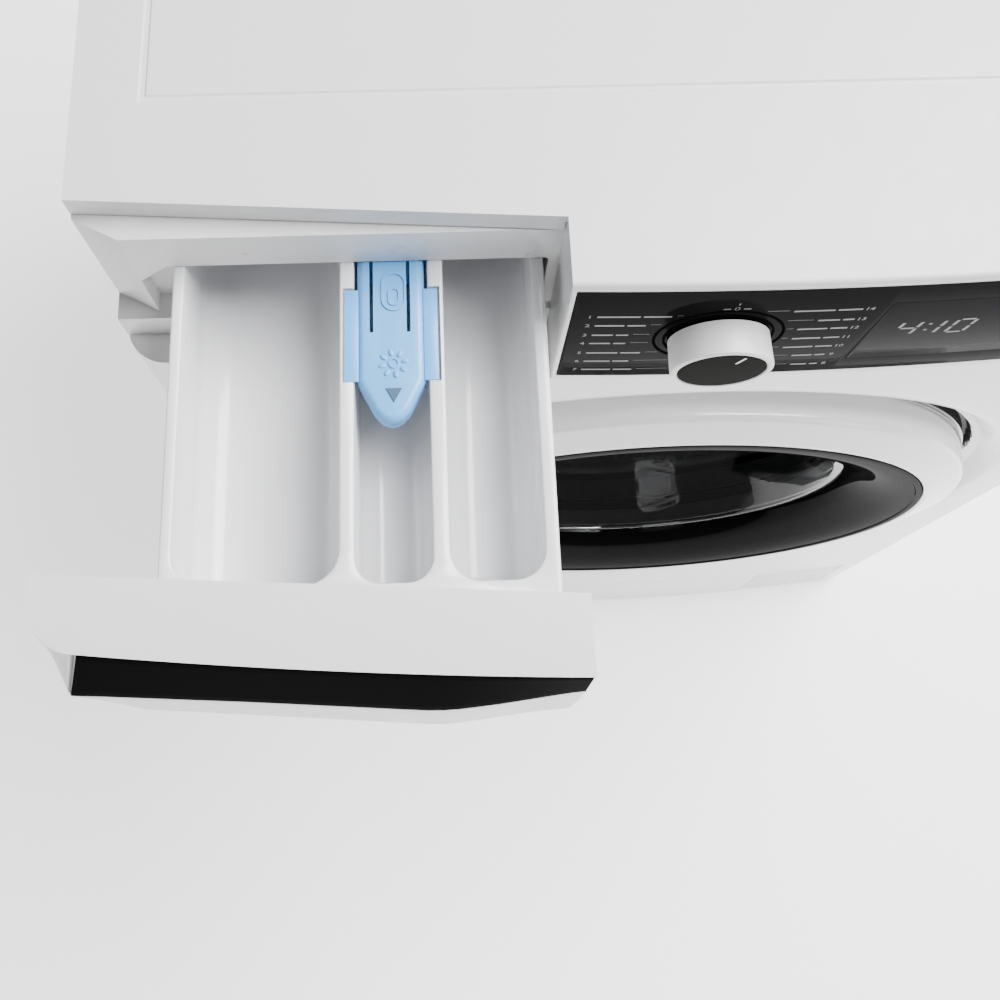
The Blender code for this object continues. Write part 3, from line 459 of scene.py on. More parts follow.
# ---- programme scale and print ---------------------------------------------------------------
# Grey print on the strip: a number and a plain dash stand for each programme, with a fine
# leader line from each to the knob.
PRINT_THICK, DASH_HIGH, LEADER_HIGH, NUMBER_HIGH = 0.06, 1.5, 0.28, 4.6
LEFT_NUMBERS, LEFT_DASH, RIGHT_NUMBERS, RIGHT_DASH = -75.9, -72.6, 46.6, 43.4
DASH_GAP, SCALE_R = 1.4, 31.0
LEFT_ROWS = ((-32.7, -39.8, 1), (-42.7, -49.8, 2), (-54.0, -56.0, 3), (-64.3, -55.9, 4),
             (-76.6, -47.2, 5), (-87.7, -51.1, 6), (-99.3, -48.0, 7))
RIGHT_ROWS = ((-29.5, 13.2, 14), (-41.0, 27.1, 13), (-51.0, 20.6, 12), (-62.5, 21.3, 11),
              (-73.6, 20.1, 10), (-85.0, 27.5, 9), (-97.4, 30.3, 8))


def flat_bar(bm, x0, x1, z, height):
    add_cube(bm, (x0, -PRINT_THICK, z - height / 2), (x1, -0.01, z + height / 2))


def lettered(bm, body, x, z, size, turn=0.0):
    """A number set flat on the strip's front."""
    font = bpy.data.curves.new("number", "FONT")
    font.body, font.size, font.extrude = body, size, PRINT_THICK / 2
    font.align_x, font.align_y = "CENTER", "CENTER"
    font.resolution_u = 2
    holder = stand("number", font)
    mesh = holder.to_mesh()
    place = (Matrix.Translation((x, -PRINT_THICK / 2, z)) @ Matrix.Rotation(turn, 4, "Y")
             @ Matrix.Rotation(math.pi / 2, 4, "X"))
    mesh.transform(place)
    bm.from_mesh(mesh)
    holder.to_mesh_clear()
    bpy.data.objects.remove(holder)


bm = bmesh.new()
for z, end, number in LEFT_ROWS:
    lettered(bm, str(number), LEFT_NUMBERS, z, NUMBER_HIGH)
    split = LEFT_DASH + 0.58 * (end - LEFT_DASH)
    for x0, x1 in ((LEFT_DASH, split), (split + DASH_GAP, end)):
        flat_bar(bm, x0, x1, z, DASH_HIGH)
    reach = KNOB.x - math.sqrt(max(0.0, SCALE_R ** 2 - (z - KNOB.z) ** 2)) - 1.0
    flat_bar(bm, end + 2.2, max(end + 5, min(reach, -24.0)), z + 1.0, LEADER_HIGH)
for z, start, number in RIGHT_ROWS:
    lettered(bm, str(number), RIGHT_NUMBERS, z, NUMBER_HIGH)
    split = start + 0.6 * (RIGHT_DASH - start)
    for x0, x1 in ((start, split), (split + DASH_GAP, RIGHT_DASH)):
        flat_bar(bm, x0, x1, z, DASH_HIGH)
    reach = KNOB.x + math.sqrt(max(0.0, SCALE_R ** 2 - (z - KNOB.z) ** 2)) + 1.0
    flat_bar(bm, min(reach, start - 5), start - 2.2, z + 1.0, LEADER_HIGH)
lettered(bm, "0", KNOB.x + 1.6, -25.2, 5.6)
flat_bar(bm, KNOB.x - 4.4, KNOB.x - 1.2, -25.2, 1.2)
flat_bar(bm, KNOB.x + 4.4, KNOB.x + 7.6, -25.2, 1.2)
flat_bar(bm, KNOB.x + 1.2, KNOB.x + 1.9, -20.0, 1.8)
for z in KEY_ZS:
    flat_bar(bm, KEY_X - 16.5, KEY_X - 14.5, z, 2.0)
bend(bm)
settle("programme_print", bm, "machine", [PRINT], smooth=20, merge=0.0005)

# ---- display ---------------------------------------------------------------------------------
# A smoked window set flush in the strip with a hair line round it. Seven-bar digits glow dimly
# behind it and show the hours and minutes left.
SMOKE = blacked("smoked window", (0.06, 0.11), 300, 0.01, 0.09, 0.05, (0.012, 0.012, 0.013),
                (0.009, 0.009, 0.010))
GLOW = skinned("lit digits", (0.085, 0.085, 0.09), (0.06, 0.06, 0.065), (0.4, 0.5), 900, 0.02,
               Emission_Color=(0.85, 0.88, 0.92, 1), Emission_Strength=0.02)
bm = pill(WINDOW_X, WINDOW_Z, WINDOW_WIDE, WINDOW_HIGH, 2.0, -0.15, 1.9)
ease(bm, 0.3, 2, 30, ahead_of(-0.1))
cut_across(bm, "x", span(WINDOW_X - WINDOW_WIDE / 2, WINDOW_X + WINDOW_WIDE / 2, 9))
bend(bm)
settle("smoked_window", bm, "machine", [SMOKE], ["display_window"])

SEGMENTS = {"0": "abcdef", "1": "bc", "4": "bcfg"}
DIGIT_W, DIGIT_H, STROKE, LEAN = 8.4, 15.0, 1.5, 0.10
LIT_NEAR, LIT_FAR = -0.24, -0.16


def digit(bm, shape, x, z):
    for bar in SEGMENTS[shape]:
        flat = bar in "agd"
        high = {"a": 1.0, "g": 0.5, "d": 0.0, "b": 0.75, "f": 0.75, "c": 0.25, "e": 0.25}[bar]
        side = {"b": 1.0, "c": 1.0, "f": 0.0, "e": 0.0}.get(bar, 0.5)
        cx, cz = x + side * DIGIT_W, z + high * DIGIT_H
        long, wide = (DIGIT_W - 2.2, STROKE) if flat else (STROKE, DIGIT_H / 2 - 1.7)
        verts = add_cube(bm, (cx - long / 2, LIT_NEAR, cz - wide / 2),
                         (cx + long / 2, LIT_FAR, cz + wide / 2))
        for vert in verts:
            vert.co.x += LEAN * (vert.co.z - z)


bm = bmesh.new()
for shape, x in (("4", 67.5), ("1", 78.5), ("0", 92.5)):
    digit(bm, shape, x, -62.5)
for z in (-58.6, -51.6):
    add_cube(bm, (81.0, LIT_NEAR, z), (81.0 + STROKE, LIT_FAR, z + STROKE))
bend(bm)
settle("lit_digits", bm, "machine", [GLOW], smooth=20, merge=0.0005)

# ---- programme knob --------------------------------------------------------------------------
# Satin white ring cap pressed onto the selector's shaft, with a bright lip, a dark grey disc
# let into its end, and a short white pointer line.
SATIN = skinned("satin knob", (0.76, 0.76, 0.755), (0.70, 0.70, 0.695), (0.30, 0.38), 700, 0.06,
                stretch=(1, 6, 1))
SLATE = blacked("slate disc", (0.34, 0.46), 1400, 0.12, 0.03, 0.3, (0.020, 0.020, 0.019),
                (0.015, 0.015, 0.014))
bm = bmesh.new()
turned(bm, [(23.0, -1.2), (23.35, -15.9), (23.1, -16.7), (22.4, -17.2), (21.2, -17.3),
            (20.6, -17.1), (20.4, -16.5), (0, -16.5)], KNOB, 128, loop=False)
turned(bm, [(23.0, -1.2), (20.6, -1.2), (20.3, -11), (6.5, -11), (6.5, -2), (3.3, -2), (3.3, -10),
            (0, -10)], KNOB, 128, loop=False)
settle("knob_cap", bm, "knob", [SATIN], ["programme_knob"])
bm = bmesh.new()
turned(bm, [(0, -17.15), (19.2, -17.15), (19.9, -17.0), (20.1, -16.8), (0, -16.8)], KNOB, 96)
settle("knob_disc", bm, "knob", [SLATE], ["knob_face"])
bm = bmesh.new()
verts = add_cube(bm, (-0.55, -17.28, 10.5), (0.55, -17.1, 17.8))
bmesh.ops.rotate(bm, verts=verts, cent=(0, 0, 0), matrix=Matrix.Rotation(math.radians(24), 3, "Y"))
bmesh.ops.translate(bm, verts=verts, vec=KNOB)
ease(bm, 0.08, 2)
settle("knob_pointer", bm, "knob", [WHITE], merge=0.001)

# ---- start button and option keys ------------------------------------------------------------
# A round white push button with a start and pause mark, and two gloss black keys beside it,
# each on its own switch behind the strip.
bm = bmesh.new()
y0 = bow(START.x)
turned(bm, [(0, y0 - 1.9), (8.5, y0 - 2.0), (11.6, y0 - 2.2), (12.6, y0 - 1.9), (13.0, y0 - 1.2),
            (13.0, y0 + 9), (0, y0 + 9)], START, 96)
settle("start_cap", bm, "start", [WHITE], ["start_button"])
bm = bmesh.new()
plate(bm, [(START.x + x, y0 - 1.98, START.z + z) for x, z in
           ((-4.6, -3.4), (-4.6, 3.4), (0.4, 0))], (0, -0.1, 0))
for x in (2.2, 4.4):
    add_cube(bm, (START.x + x - 0.6, y0 - 2.08, START.z - 3.4),
             (START.x + x + 0.6, y0 - 1.94, START.z + 3.4))
settle("start_mark", bm, "start", [SLATE], smooth=20, merge=0.001)
for n, z in enumerate(KEY_ZS, 1):
    front = bow(KEY_X) - 1.2
    bm = pill(KEY_X, z, 22.0, 9.0, 4.2, front, front + 10.2)
    ease(bm, 0.7, 3, 50, ahead_of(front + 0.1))
    settle("option_cap_%d" % n, bm, "key_%d" % n, [GLOSS], ["option_key_%d" % n])

# ---- drawer front ----------------------------------------------------------------------------
# White moulding whose lower half leans out into a pull, with a finger pocket behind it. The
# left end follows the rounded corner of the machine; it clips onto the front of the tray.
OUT = -157.0
PULL_MID = ((-281.0, 3.5), (-144.5, -6.83), (-122.0, -4.8), (-98.0, -1.7), (-87.5, -0.5))
PULL_LOW = ((-284.0, 3.2), (-144.5, -8.0), (-102.0, -3.1), (-87.5, -2.2))
BAND_L, BAND_R, BAND_TOP, BAND_LOW = -281.0, -87.9, -4.6, -34.0
TOP_EDGE, BAND_STEP, SLANT, TAPER = -4.3, 2.3, 10.0, 19.0
SKIRT_TOP, SKIRT_BACK, BLOCK_BACK, END_BACK, LEDGE_UNDER = -91.5, 29.8, 33.4, 44.4, -13.2
BENDS = [-150.5, -144.5, -138, -130, -122, -110, -98, -92.5]


def along(points, x):
    x = min(max(x, points[0][0]), points[-1][0])
    for (xa, ya), (xb, yb) in zip(points, points[1:]):
        if x <= xb:
            return ya + (yb - ya) * (x - xa) / (xb - xa)
    return points[-1][1]


def lean(points, x, soft=7.0):
    """The pull's front at x, its bends eased over a few millimetres."""
    return sum(along(points, x + d) for d in (-soft, -soft / 2, 0, soft / 2, soft)) / 5


def slanted(x, z):
    """The band's left end, and the lip under it, run outwards as they go down."""
    if z > BAND_LOW:
        reach = SLANT * max(0.0, min(1.0, (BAND_TOP - z) / (BAND_TOP - BAND_LOW)))
    else:
        reach = SLANT * max(0.0, 1.0 - (BAND_LOW - z) / 42.0)
    near = (x + HALF) / TAPER if x < BAND_L else 1.0 - (x - BAND_L) / 60.0
    return x - reach * max(0.0, min(1.0, near))


def drawer_face(x, z):
    """How far forward the drawer's front stands at x and z."""
    top, middle = bow(x), lean(PULL_MID, x)
    if x < BAND_L - 1.0:
        fade = 0.0 if z > TOP_EDGE else min(1.0, (TOP_EDGE - z) / 26.0)
        side = max(0.0, min(1.0, (x + HALF) / TAPER))
        return top + fade * side * (lean(PULL_MID, BAND_L) - top)
    if z > TOP_EDGE:
        return top
    if z > BAND_LOW - 0.4:
        share = (BAND_TOP - z) / (BAND_TOP - BAND_LOW)
        return top + max(0.0, min(1.0, share)) * (middle - top) + BAND_STEP
    share = min(1.0, (BAND_LOW - 0.6 - z) / 57.0)
    return middle + share * (lean(PULL_LOW, x) - middle)


bm = bmesh.new()
plate(bm, [(-HALF, 0, -1.0), (-87.5, 0, -1.0), (-87.5, 32.7, -1.0), (-279.5, 44.6, -1.0),
           (-HALF, 45.9, -1.0)], (0, 0, -3.3))
ease(bm, CORNER_R, 8, 30, lambda e: at_corner(e, -HALF, 0))
cut_across(bm, "x", [BAND_L - 0.3] + span(BAND_L, -150, 10) + BENDS)
for level in (-4.5, -13.0, -13.3, -20.0, -28.0, -34.3, -34.7, -48.0, -66.0, -91.3, -91.6, -107.6,
              -110.0):
    low = min(v.co.z for v in bm.verts)
    pull(bm, faces_where(bm, lambda c, f: c.z < low + 0.01), (0, 0, level - low))
for vert in bm.verts:
    x, y, z = vert.co
    if y > 30 and z < SKIRT_TOP:
        vert.co.y = SKIRT_BACK
    elif y > 30 and z < LEDGE_UNDER:
        outer = max(0.0, (-279.5 - x) / 20.5)
        vert.co.y = BLOCK_BACK + outer * (END_BACK - BLOCK_BACK)
    elif y < CORNER_R + 0.5:
        vert.co.y = drawer_face(x, z) + y
        if z < SKIRT_TOP and vert.co.y > 29.0:
            vert.co.y = 29.0 + 0.05 * (vert.co.y - 29.0)
ease(bm, 1.1, 3, 55, ahead_of(25))
for vert in bm.verts:
    vert.co.y += OUT
    vert.co.x = max(slanted(vert.co.x, vert.co.z) if vert.co.y < OUT + 20 else vert.co.x, -HALF)
POCKET_L, POCKET_R, FINGER_BACK = -268, -150, 24 + OUT
finger = bmesh.new()
plate(finger, [(POCKET_L, 8 + OUT, -130), (POCKET_R, -2.5 + OUT, -130),
               (POCKET_R, FINGER_BACK, -130), (POCKET_L, FINGER_BACK, -130)], (0, 0, 80))
ease(finger, 4.0, 4, 50)
bm = carve(bm, finger)
settle("drawer_moulding", bm, "drawer", [WHITE], ["drawer_front"])

# ---- drawer band -----------------------------------------------------------------------------
# Gloss black acrylic strip bonded into a step in the drawer's front, level with the control
# strip, leaning out to the pull's edge.
BAND_GLOSS = blacked("band black", (0.05, 0.09), 260, 0.015, 0.02, 0.04)
bm = bmesh.new()
plate(bm, [(BAND_L + 0.2, 0, BAND_LOW), (BAND_R, 0, BAND_LOW), (BAND_R, 0, BAND_TOP),
           (BAND_L + 0.2, 0, BAND_TOP)], (0, 2.0, 0))
cut_across(bm, "x", span(BAND_L, -150, 8) + BENDS + [-116, -104])
cut_across(bm, "z", span(BAND_LOW, BAND_TOP, 4.5))
ease(bm, 0.35, 2, 50, ahead_of(0.01))
for vert in bm.verts:
    share = (BAND_TOP - vert.co.z) / (BAND_TOP - BAND_LOW)
    vert.co.y += bow(vert.co.x) + share * (lean(PULL_MID, vert.co.x) - bow(vert.co.x)) + OUT
    vert.co.x = slanted(vert.co.x, vert.co.z)
settle("drawer_band", bm, "drawer", [BAND_GLOSS], ["drawer_strip"])

# ---- detergent tray --------------------------------------------------------------------------
# Milky clear moulding with three pockets, rounded at the front and along the bottom. Flanges
# along both sides run in the housing.
MILKY = skinned("milky tray", (0.78, 0.785, 0.80), (0.74, 0.745, 0.765), (0.16, 0.26), 500, 0.03,
                patch=11.0, Coat_Weight=0.3, Coat_Roughness=0.1)
TRAY_L, TRAY_R, TRAY_FRONT, TRAY_BACK = -261.5, -94.0, -123.3, 143.0
TRAY_LOW, TRAY_TOP, ABOVE_TRAY = -100.0, -42.0, -30.0
RIB_1, RIB_2 = (-186.5, -180.0), (-147.0, -140.0)
POCKETS = ((TRAY_L + 5, RIB_1[0], -97.0, 15.0), (RIB_1[1], RIB_2[0], -94.0, 11.0),
           (RIB_2[1], TRAY_R - 6, -97.0, 13.0))
POCKET_FRONT, POCKET_BACK = -111.3, 137.0
SEATS = (RIB_1[0] + 1.5, -23.0, -44.6), (RIB_2[1] - 1.5, 22.0, ABOVE_TRAY)

bm = cube((TRAY_L, TRAY_FRONT, TRAY_LOW), (TRAY_R, TRAY_BACK, TRAY_TOP))
ease(bm, 14, 6, 30, lambda e: max(v.co.z for v in e.verts) < TRAY_LOW + 0.1 and runs(e, "y", 10))
ease(bm, 1.0, 3, 50)
hollows = []
for x0, x1, deep, round_r in POCKETS:
    hollow = cube((x0, POCKET_FRONT, deep), (x1, POCKET_BACK, ABOVE_TRAY))
    ease(hollow, round_r, 8, 30, lambda e: (max(v.co.z for v in e.verts) < deep + 0.1
                                            and min(v.co.y for v in e.verts) < POCKET_BACK - 1)
         or (runs(e, "z", 10) and e.verts[0].co.y < 0))
    cut_across(hollow, "z", [TRAY_TOP - 1.0, TRAY_TOP - 0.35, TRAY_TOP])
    middle = Vector(((x0 + x1) / 2, (POCKET_FRONT + POCKET_BACK) / 2, 0))
    for vert in hollow.verts:
        grow = 0.9 if vert.co.z > TRAY_TOP - 0.1 else 0.3 if vert.co.z > TRAY_TOP - 0.5 else 0.0
        if grow:
            for k, half in ((0, (x1 - x0) / 2), (1, (POCKET_BACK - POCKET_FRONT) / 2)):
                vert.co[k] += grow * (vert.co[k] - middle[k]) / half
    hollows.append(hollow)
bm = carve(bm, *hollows, cube(*SEATS))
settle("detergent_tray", bm, "drawer", [MILKY], ["drawer_tray"])

# ---- softener siphon cap ---------------------------------------------------------------------
# Sky blue moulding that drops over the middle pocket. Two wings sit in seats in the ribs, two
# slots let its tongue spring, and an oval, a flower and an arrow are moulded on top.
BLUE = skinned("sky blue", (0.13, 0.42, 0.84), (0.11, 0.39, 0.80), (0.26, 0.36), 900, 0.05)
# Dark blue for the moulded arrow: painted shade standing for its relief in the same blue plastic.
ARROW_SHADE_BLUE = skinned("shaded blue", (0.045, 0.10, 0.17), (0.035, 0.085, 0.14), (0.4, 0.5), 900,
                    0.05)
CAP_L, CAP_R, CAP_BACK, CAP_LOW, CAP_TOP = -178.6, -148.4, 135, -52, -42.2
NOSE, DROOP, SLOT_HALF = -22.4, 1.2, 0.85
cap = bmesh.new()
plate(cap, [(x, y, CAP_LOW) for x, y in (
    (CAP_L, CAP_BACK), (CAP_L, NOSE), (-171.4, -36.0), (-167.0, -41.0), (-160.0, -41.0),
    (-155.4, -36.0), (CAP_R, NOSE), (CAP_R, CAP_BACK))], (0, 0, CAP_TOP - CAP_LOW))
ease(cap, 3.0, 4, 25, lambda e: runs(e, "z", 5) and e.verts[0].co.y < -30)
ease(cap, 3.4, 5, 50, lambda e: min(v.co.z for v in e.verts) > CAP_TOP - 0.01)
for vert in cap.verts:
    if vert.co.y < NOSE:
        vert.co.z -= ((NOSE - vert.co.y) / 20.6) ** 2 * DROOP
cap = carve(cap, *[cube((x - SLOT_HALF, 0.4, -60), (x + SLOT_HALF, 60, ABOVE_TRAY))
                   for x in (-172.2, -155.6)])
settle("siphon_cap", cap, "drawer", [BLUE], ["siphon_insert"])
bm = bmesh.new()
for x0, x1 in ((-184.4, CAP_L + 0.6), (CAP_R - 0.6, -142.6)):
    add_cube(bm, (x0, NOSE, -44.3), (x1, 21.4, -43.0))
ease(bm, 0.3, 2)
settle("siphon_wings", bm, "drawer", [BLUE], merge=0.0005)
bm = cube((-175, 42, -86), (-152, 131, -50))
ease(bm, 2.0, 3)
settle("siphon_box", bm, "drawer", [BLUE])


def ring_path(bm, outer, inner, z0, z1):
    """A raised closed rib between two loops of plan points."""
    edges = []
    for points in (outer, inner):
        loop = [bm.verts.new((x, y, z0)) for x, y in points]
        edges += [bm.edges.new(pair) for pair in zip(loop, loop[1:] + loop[:1])]
    pull(bm, bmesh.ops.bridge_loops(bm, edges=edges)["faces"], (0, 0, z1 - z0))


def oval(cx, cy, radius, straight, count=32):
    turns = [2 * math.pi * k / count for k in range(count)]
    return [(cx + radius * math.cos(t),
             cy + radius * math.sin(t) + math.copysign(straight, math.sin(t))) for t in turns]


FLOWER_X, FLOWER_Y, PETALS, PETAL_OUT = -162.5, -14.4, 8, 5.2
bm = bmesh.new()
for x, y, outer, inner, straight, high in ((-162.1, 20.0, 5.6, 4.7, 3.8, 0.45),
                                           (-162.1, 17.4, 2.7, 2.0, 1.6, 0.4),
                                           (FLOWER_X, FLOWER_Y, 2.3, 1.8, 0.0, 0.2)):
    ring_path(bm, oval(x, y, outer, straight), oval(x, y, inner, straight), CAP_TOP - 0.1,
              CAP_TOP + high)
for k in range(PETALS):
    t = 2 * math.pi * k / PETALS + 0.2
    petal = bmesh.ops.create_uvsphere(bm, u_segments=12, v_segments=6, radius=1.0)["verts"]
    bmesh.ops.scale(bm, verts=petal, vec=(1.7, 1.05, 0.35))
    bmesh.ops.rotate(bm, verts=petal, cent=(0, 0, 0), matrix=Matrix.Rotation(t, 3, "Z"))
    bmesh.ops.translate(bm, verts=petal, vec=(FLOWER_X + PETAL_OUT * math.cos(t),
                                              FLOWER_Y + PETAL_OUT * math.sin(t), CAP_TOP))
settle("siphon_marks", bm, "drawer", [BLUE], smooth=50, merge=0.0005)
# The arrow takes the painted shade blue.
bm = bmesh.new()
plate(bm, [(FLOWER_X + x, -28.6 + y, CAP_TOP - 0.4) for x, y in
           ((-3.6, 2.6), (3.6, 2.6), (0.0, -3.8))], (0, 0, 0.34))
settle("siphon_arrow", bm, "drawer", [ARROW_SHADE_BLUE], smooth=20, merge=0.0005)

# ---- drawer surround -------------------------------------------------------------------------
# White frame behind the drawer's front: a sloping ledge under the top cover, the mouth that the
# tray slides through, and an angled left end out to the machine's side.
FRAME_SHAPE = ((-112.0, 31.0, 31.0), (-92.6, 31.0, 31.0), (-92.0, 45.2, 34.6),
               (-13.8, 45.2, 34.6), (-13.4, 47.4, 46.2), (-12.4, 47.4, 46.2))
MOUTH_TOP, RECESS_L, RECESS_R, RECESS_LOW = -40.7, -279.4, -264.0, -92.0
bm = bmesh.new()
top = FRAME_SHAPE[0][0]
bm.faces.new([bm.verts.new((x, y, top)) for x, y in ((-HALF, 31), (-279.5, 31), (-80, 31),
                                                     (-80, 60), (-HALF, 60))])
for z, left, middle in FRAME_SHAPE[1:]:
    caps = faces_where(bm, lambda c, f: abs(c.z - top) < 0.01)
    pull(bm, caps[-1:], (0, 0, z - top))
    for vert in bm.verts:
        if abs(vert.co.z - z) < 0.01 and vert.co.y < 59:
            vert.co.y = left if vert.co.x < -299 else middle
            if z > -13.6 and vert.co.x > -81:
                vert.co.y = 36.0
    top = z
mouth = cube((-265.5, 0, -103.2), (-91.5, 100, -41.2))
ease(mouth, 2.5, 4, 50, lambda e: runs(e, "y", 50))
end = cube((NOTCH_X - 0.3, 0, -130), (-60, 34.4, 0))
recess = bmesh.new()
plate(recess, [(RECESS_R, 20, RECESS_LOW), (RECESS_L, 20, RECESS_LOW), (RECESS_L, 20, -56.0),
               (RECESS_R, 20, MOUTH_TOP)], (0, 24, 0))
bm = carve(bm, mouth, end, recess)
ease(bm, 0.8, 3, 28, ahead_of(48))
settle("drawer_frame", bm, "machine", [WHITE], ["drawer_surround"], smooth=24)

# ---- front panel -----------------------------------------------------------------------------
# Enamelled sheet steel, gently bowed, pressed round the door into a deep dish with a rolled
# edge. A finger hollow beside the door gives a grip on the ring. The sheet's edges fold back.
DOOR_Z = -404.0
PANEL_TOP, PANEL_LOW = -113.0, -739.7
PORT_R, DISH_R, DISH_FLOOR, DISH_SLOPE, ROLL, DISH_END = 178.0, 240.0, 22.5, 1.115, 5.0, 273.0
AROUND = 264
HOLLOW_MID, HOLLOW_HALF, HOLLOW_DEEP = math.radians(37.0), math.radians(21.0), 8.6


def panel_face(x, z):
    """Y of the panel's front: the bow, sunk into the dish near the door."""
    r = math.hypot(x, z - DOOR_Z)
    front = bow(x)
    gap = DISH_FLOOR - DISH_SLOPE * max(0.0, r - DISH_R) - front
    y = front + 0.5 * (gap + math.sqrt(gap * gap + ROLL * ROLL))
    return y if r > DISH_R + 3 else min(DISH_FLOOR, y)


def ring_out(bm, edges, move):
    """Widens an open rim; move() gives each new point its place."""
    made = bmesh.ops.extrude_edge_only(bm, edges=edges)["geom"]
    for vert in verts_in(made):
        vert.co = move(vert.co)
    return [g for g in made if isinstance(g, bmesh.types.BMEdge)
            and all(v in made for v in g.verts) and len(g.link_faces) == 1]


def point_out(bm, towards, pick=lambda c: True):
    """Turns an open sheet over where its faces look away from the direction."""
    bmesh.ops.recalc_face_normals(bm, faces=bm.faces)
    picked = faces_where(bm, lambda c, f: pick(c))
    if sum(f.normal.dot(Vector(towards)) * f.calc_area() for f in picked) < 0:
        bmesh.ops.reverse_faces(bm, faces=bm.faces)


def to_radius(r):
    def move(co):
        t = math.atan2(co.z - DOOR_Z, co.x)
        x, z = r * math.cos(t), DOOR_Z + r * math.sin(t)
        y = panel_face(x, z)
        off = abs(t - HOLLOW_MID)
        if 229.0 < r < 242.0 and off < HOLLOW_HALF:
            reach = math.cos(0.5 * math.pi * off / HOLLOW_HALF) ** 0.4
            inner = min(1.0, (r - 229.3) / 0.8)
            outer = max(0.0, min(1.0, (230.6 + 5.2 * reach - r) / 1.2))
            y += HOLLOW_DEEP * inner * outer * min(1.0, reach * 1.3)
        return Vector((x, y, z))
    return move


def to_edge(share, start_r):
    def move(co):
        t = math.atan2(co.z - DOOR_Z, co.x)
        c, s = math.cos(t), math.sin(t)
        wide = (HALF - CORNER_R) / max(abs(c), 1e-6)
        tall = (PANEL_TOP - DOOR_Z if s > 0 else DOOR_Z - PANEL_LOW) / max(abs(s), 1e-6)
        far = min(wide, tall)
        r = start_r + (far - start_r) * share
        return Vector((r * c, panel_face(r * c, DOOR_Z + r * s), DOOR_Z + r * s))
    return move


bm = bmesh.new()
bmesh.ops.create_circle(bm, segments=AROUND, radius=PORT_R,
                        matrix=Matrix.Translation((0, DISH_FLOOR + 10, DOOR_Z))
                        @ Matrix.Rotation(math.pi / 2, 4, "X"))
rim = bm.edges[:]
rim = ring_out(bm, rim, lambda co: Vector((co.x, DISH_FLOOR + 3.0, co.z)))
rim = ring_out(bm, rim, to_radius(PORT_R + 0.4))
rim = ring_out(bm, rim, to_radius(PORT_R + 3.0))
for r in (205.0, 229.3, 229.7, 230.2, 231.2, 232.2, 233.2, 234.2, 235.2, 236.2, 237.2, 238.2,
          239.2, 240.2, 241.4, 243.0, 247.0, 251.0, 254.0, 256.5, 258.5, 260.5, 262.5, 264.5,
          267.0, 270.0, DISH_END):
    rim = ring_out(bm, rim, to_radius(r))
for share in (0.25, 0.5, 0.75, 1.0):
    rim = ring_out(bm, rim, to_edge(share, DISH_END))
FLAT_END, FLANK_BACK, FOLD_TOP, FOLD_LOW, STEEL = HALF - CORNER_R, 44.2, 43.4, 29.0, 1.2
for side in (-1, 1):
    for z in (PANEL_TOP, PANEL_LOW):
        near = min((v for e in rim for v in e.verts),
                   key=lambda v: abs(v.co.x - side * FLAT_END) + abs(v.co.z - z))
        near.co = Vector((side * FLAT_END, bow(FLAT_END), z))
for side in (-1, 1):
    flank = [e for e in rim if all(abs(v.co.x - side * FLAT_END) < 0.05 for v in e.verts)]
    for k in range(1, 9):
        t = 0.5 * math.pi * k / 8
        x = side * (FLAT_END + CORNER_R * math.sin(t))
        y = bow(FLAT_END) + CORNER_R * (1 - math.cos(t))
        flank = ring_out(bm, flank, lambda co: Vector((x, y, co.z)))
    flank = ring_out(bm, flank, lambda co: Vector((side * HALF, FLANK_BACK, co.z)))
bmesh.ops.remove_doubles(bm, verts=bm.verts, dist=0.01)
for z, fold_back in ((PANEL_TOP, FOLD_TOP), (PANEL_LOW, FOLD_LOW)):
    lip = [e for e in bm.edges if len(e.link_faces) == 1
           and all(abs(v.co.z - z) < 0.05 for v in e.verts)]
    lip = ring_out(bm, lip, lambda co: Vector((co.x * 0.9985, co.y + 1.0, co.z)))
    ring_out(bm, lip, lambda co: Vector((co.x * (0.993 if abs(co.x) > 285 else 1.0),
                                         max(co.y, fold_back), co.z)))
point_out(bm, (0, -1, 0))
bmesh.ops.solidify(bm, geom=bm.faces[:], thickness=STEEL)
bm = carve(bm, cube((191.5, 5, DOOR_Z - 15), (214.5, 50, DOOR_Z + 15)))
# Near-black finish on the finger hollow's deep faces: painted shade standing for the dark gap
# between the dish and the ring.
HOLLOW_SHADE = skinned("hollow painted shade", (0.045, 0.045, 0.047), (0.03, 0.03, 0.032), (0.4, 0.55), 900, 0.1)
for face in bm.faces:
    x, y, z = face.calc_center_median()
    off = abs(math.atan2(z - DOOR_Z, x) - HOLLOW_MID)
    if 229.4 < math.hypot(x, z - DOOR_Z) < 236.3 and off < HOLLOW_HALF and y > DISH_FLOOR + 1.3:
        face.material_index = 1
settle("front_pressing", bm, "machine", [ENAMEL, HOLLOW_SHADE], ["front_panel"],
       smooth=32)

# ---- plinth and filter flap ------------------------------------------------------------------
# The same enamelled sheet below the front panel, bowed like it. A white plastic flap at the
# right hinges down to reach the pump filter.
PLINTH_LOW, PLINTH_TOP, PLINTH_BACK = -838.0, -740.0, 28.8
GATE_L, GATE_R, GATE_LOW, GATE_TOP = 180.0, 270.0, -828.0, -748.0
FLAP_L, FLAP_R, FLAP_LOW, FLAP_TOP, FLAP_THICK = 180.7, 269.3, -827.2, -748.7, 2.5
bm = bmesh.new()
sheet_wall(bm, [(-HALF, PLINTH_BACK), (-HALF, 0), (HALF, 0), (HALF, PLINTH_BACK)], PLINTH_LOW,
           PLINTH_TOP)
bmesh.ops.recalc_face_normals(bm, faces=bm.faces)
for side in (-1, 1):
    ease(bm, CORNER_R, 8, 30, lambda e: at_corner(e, side * HALF, 0))
cut_across(bm, "x", [GATE_L, GATE_R] + span(-FLAT_END, GATE_L, 18) + span(GATE_L, GATE_R, 15))
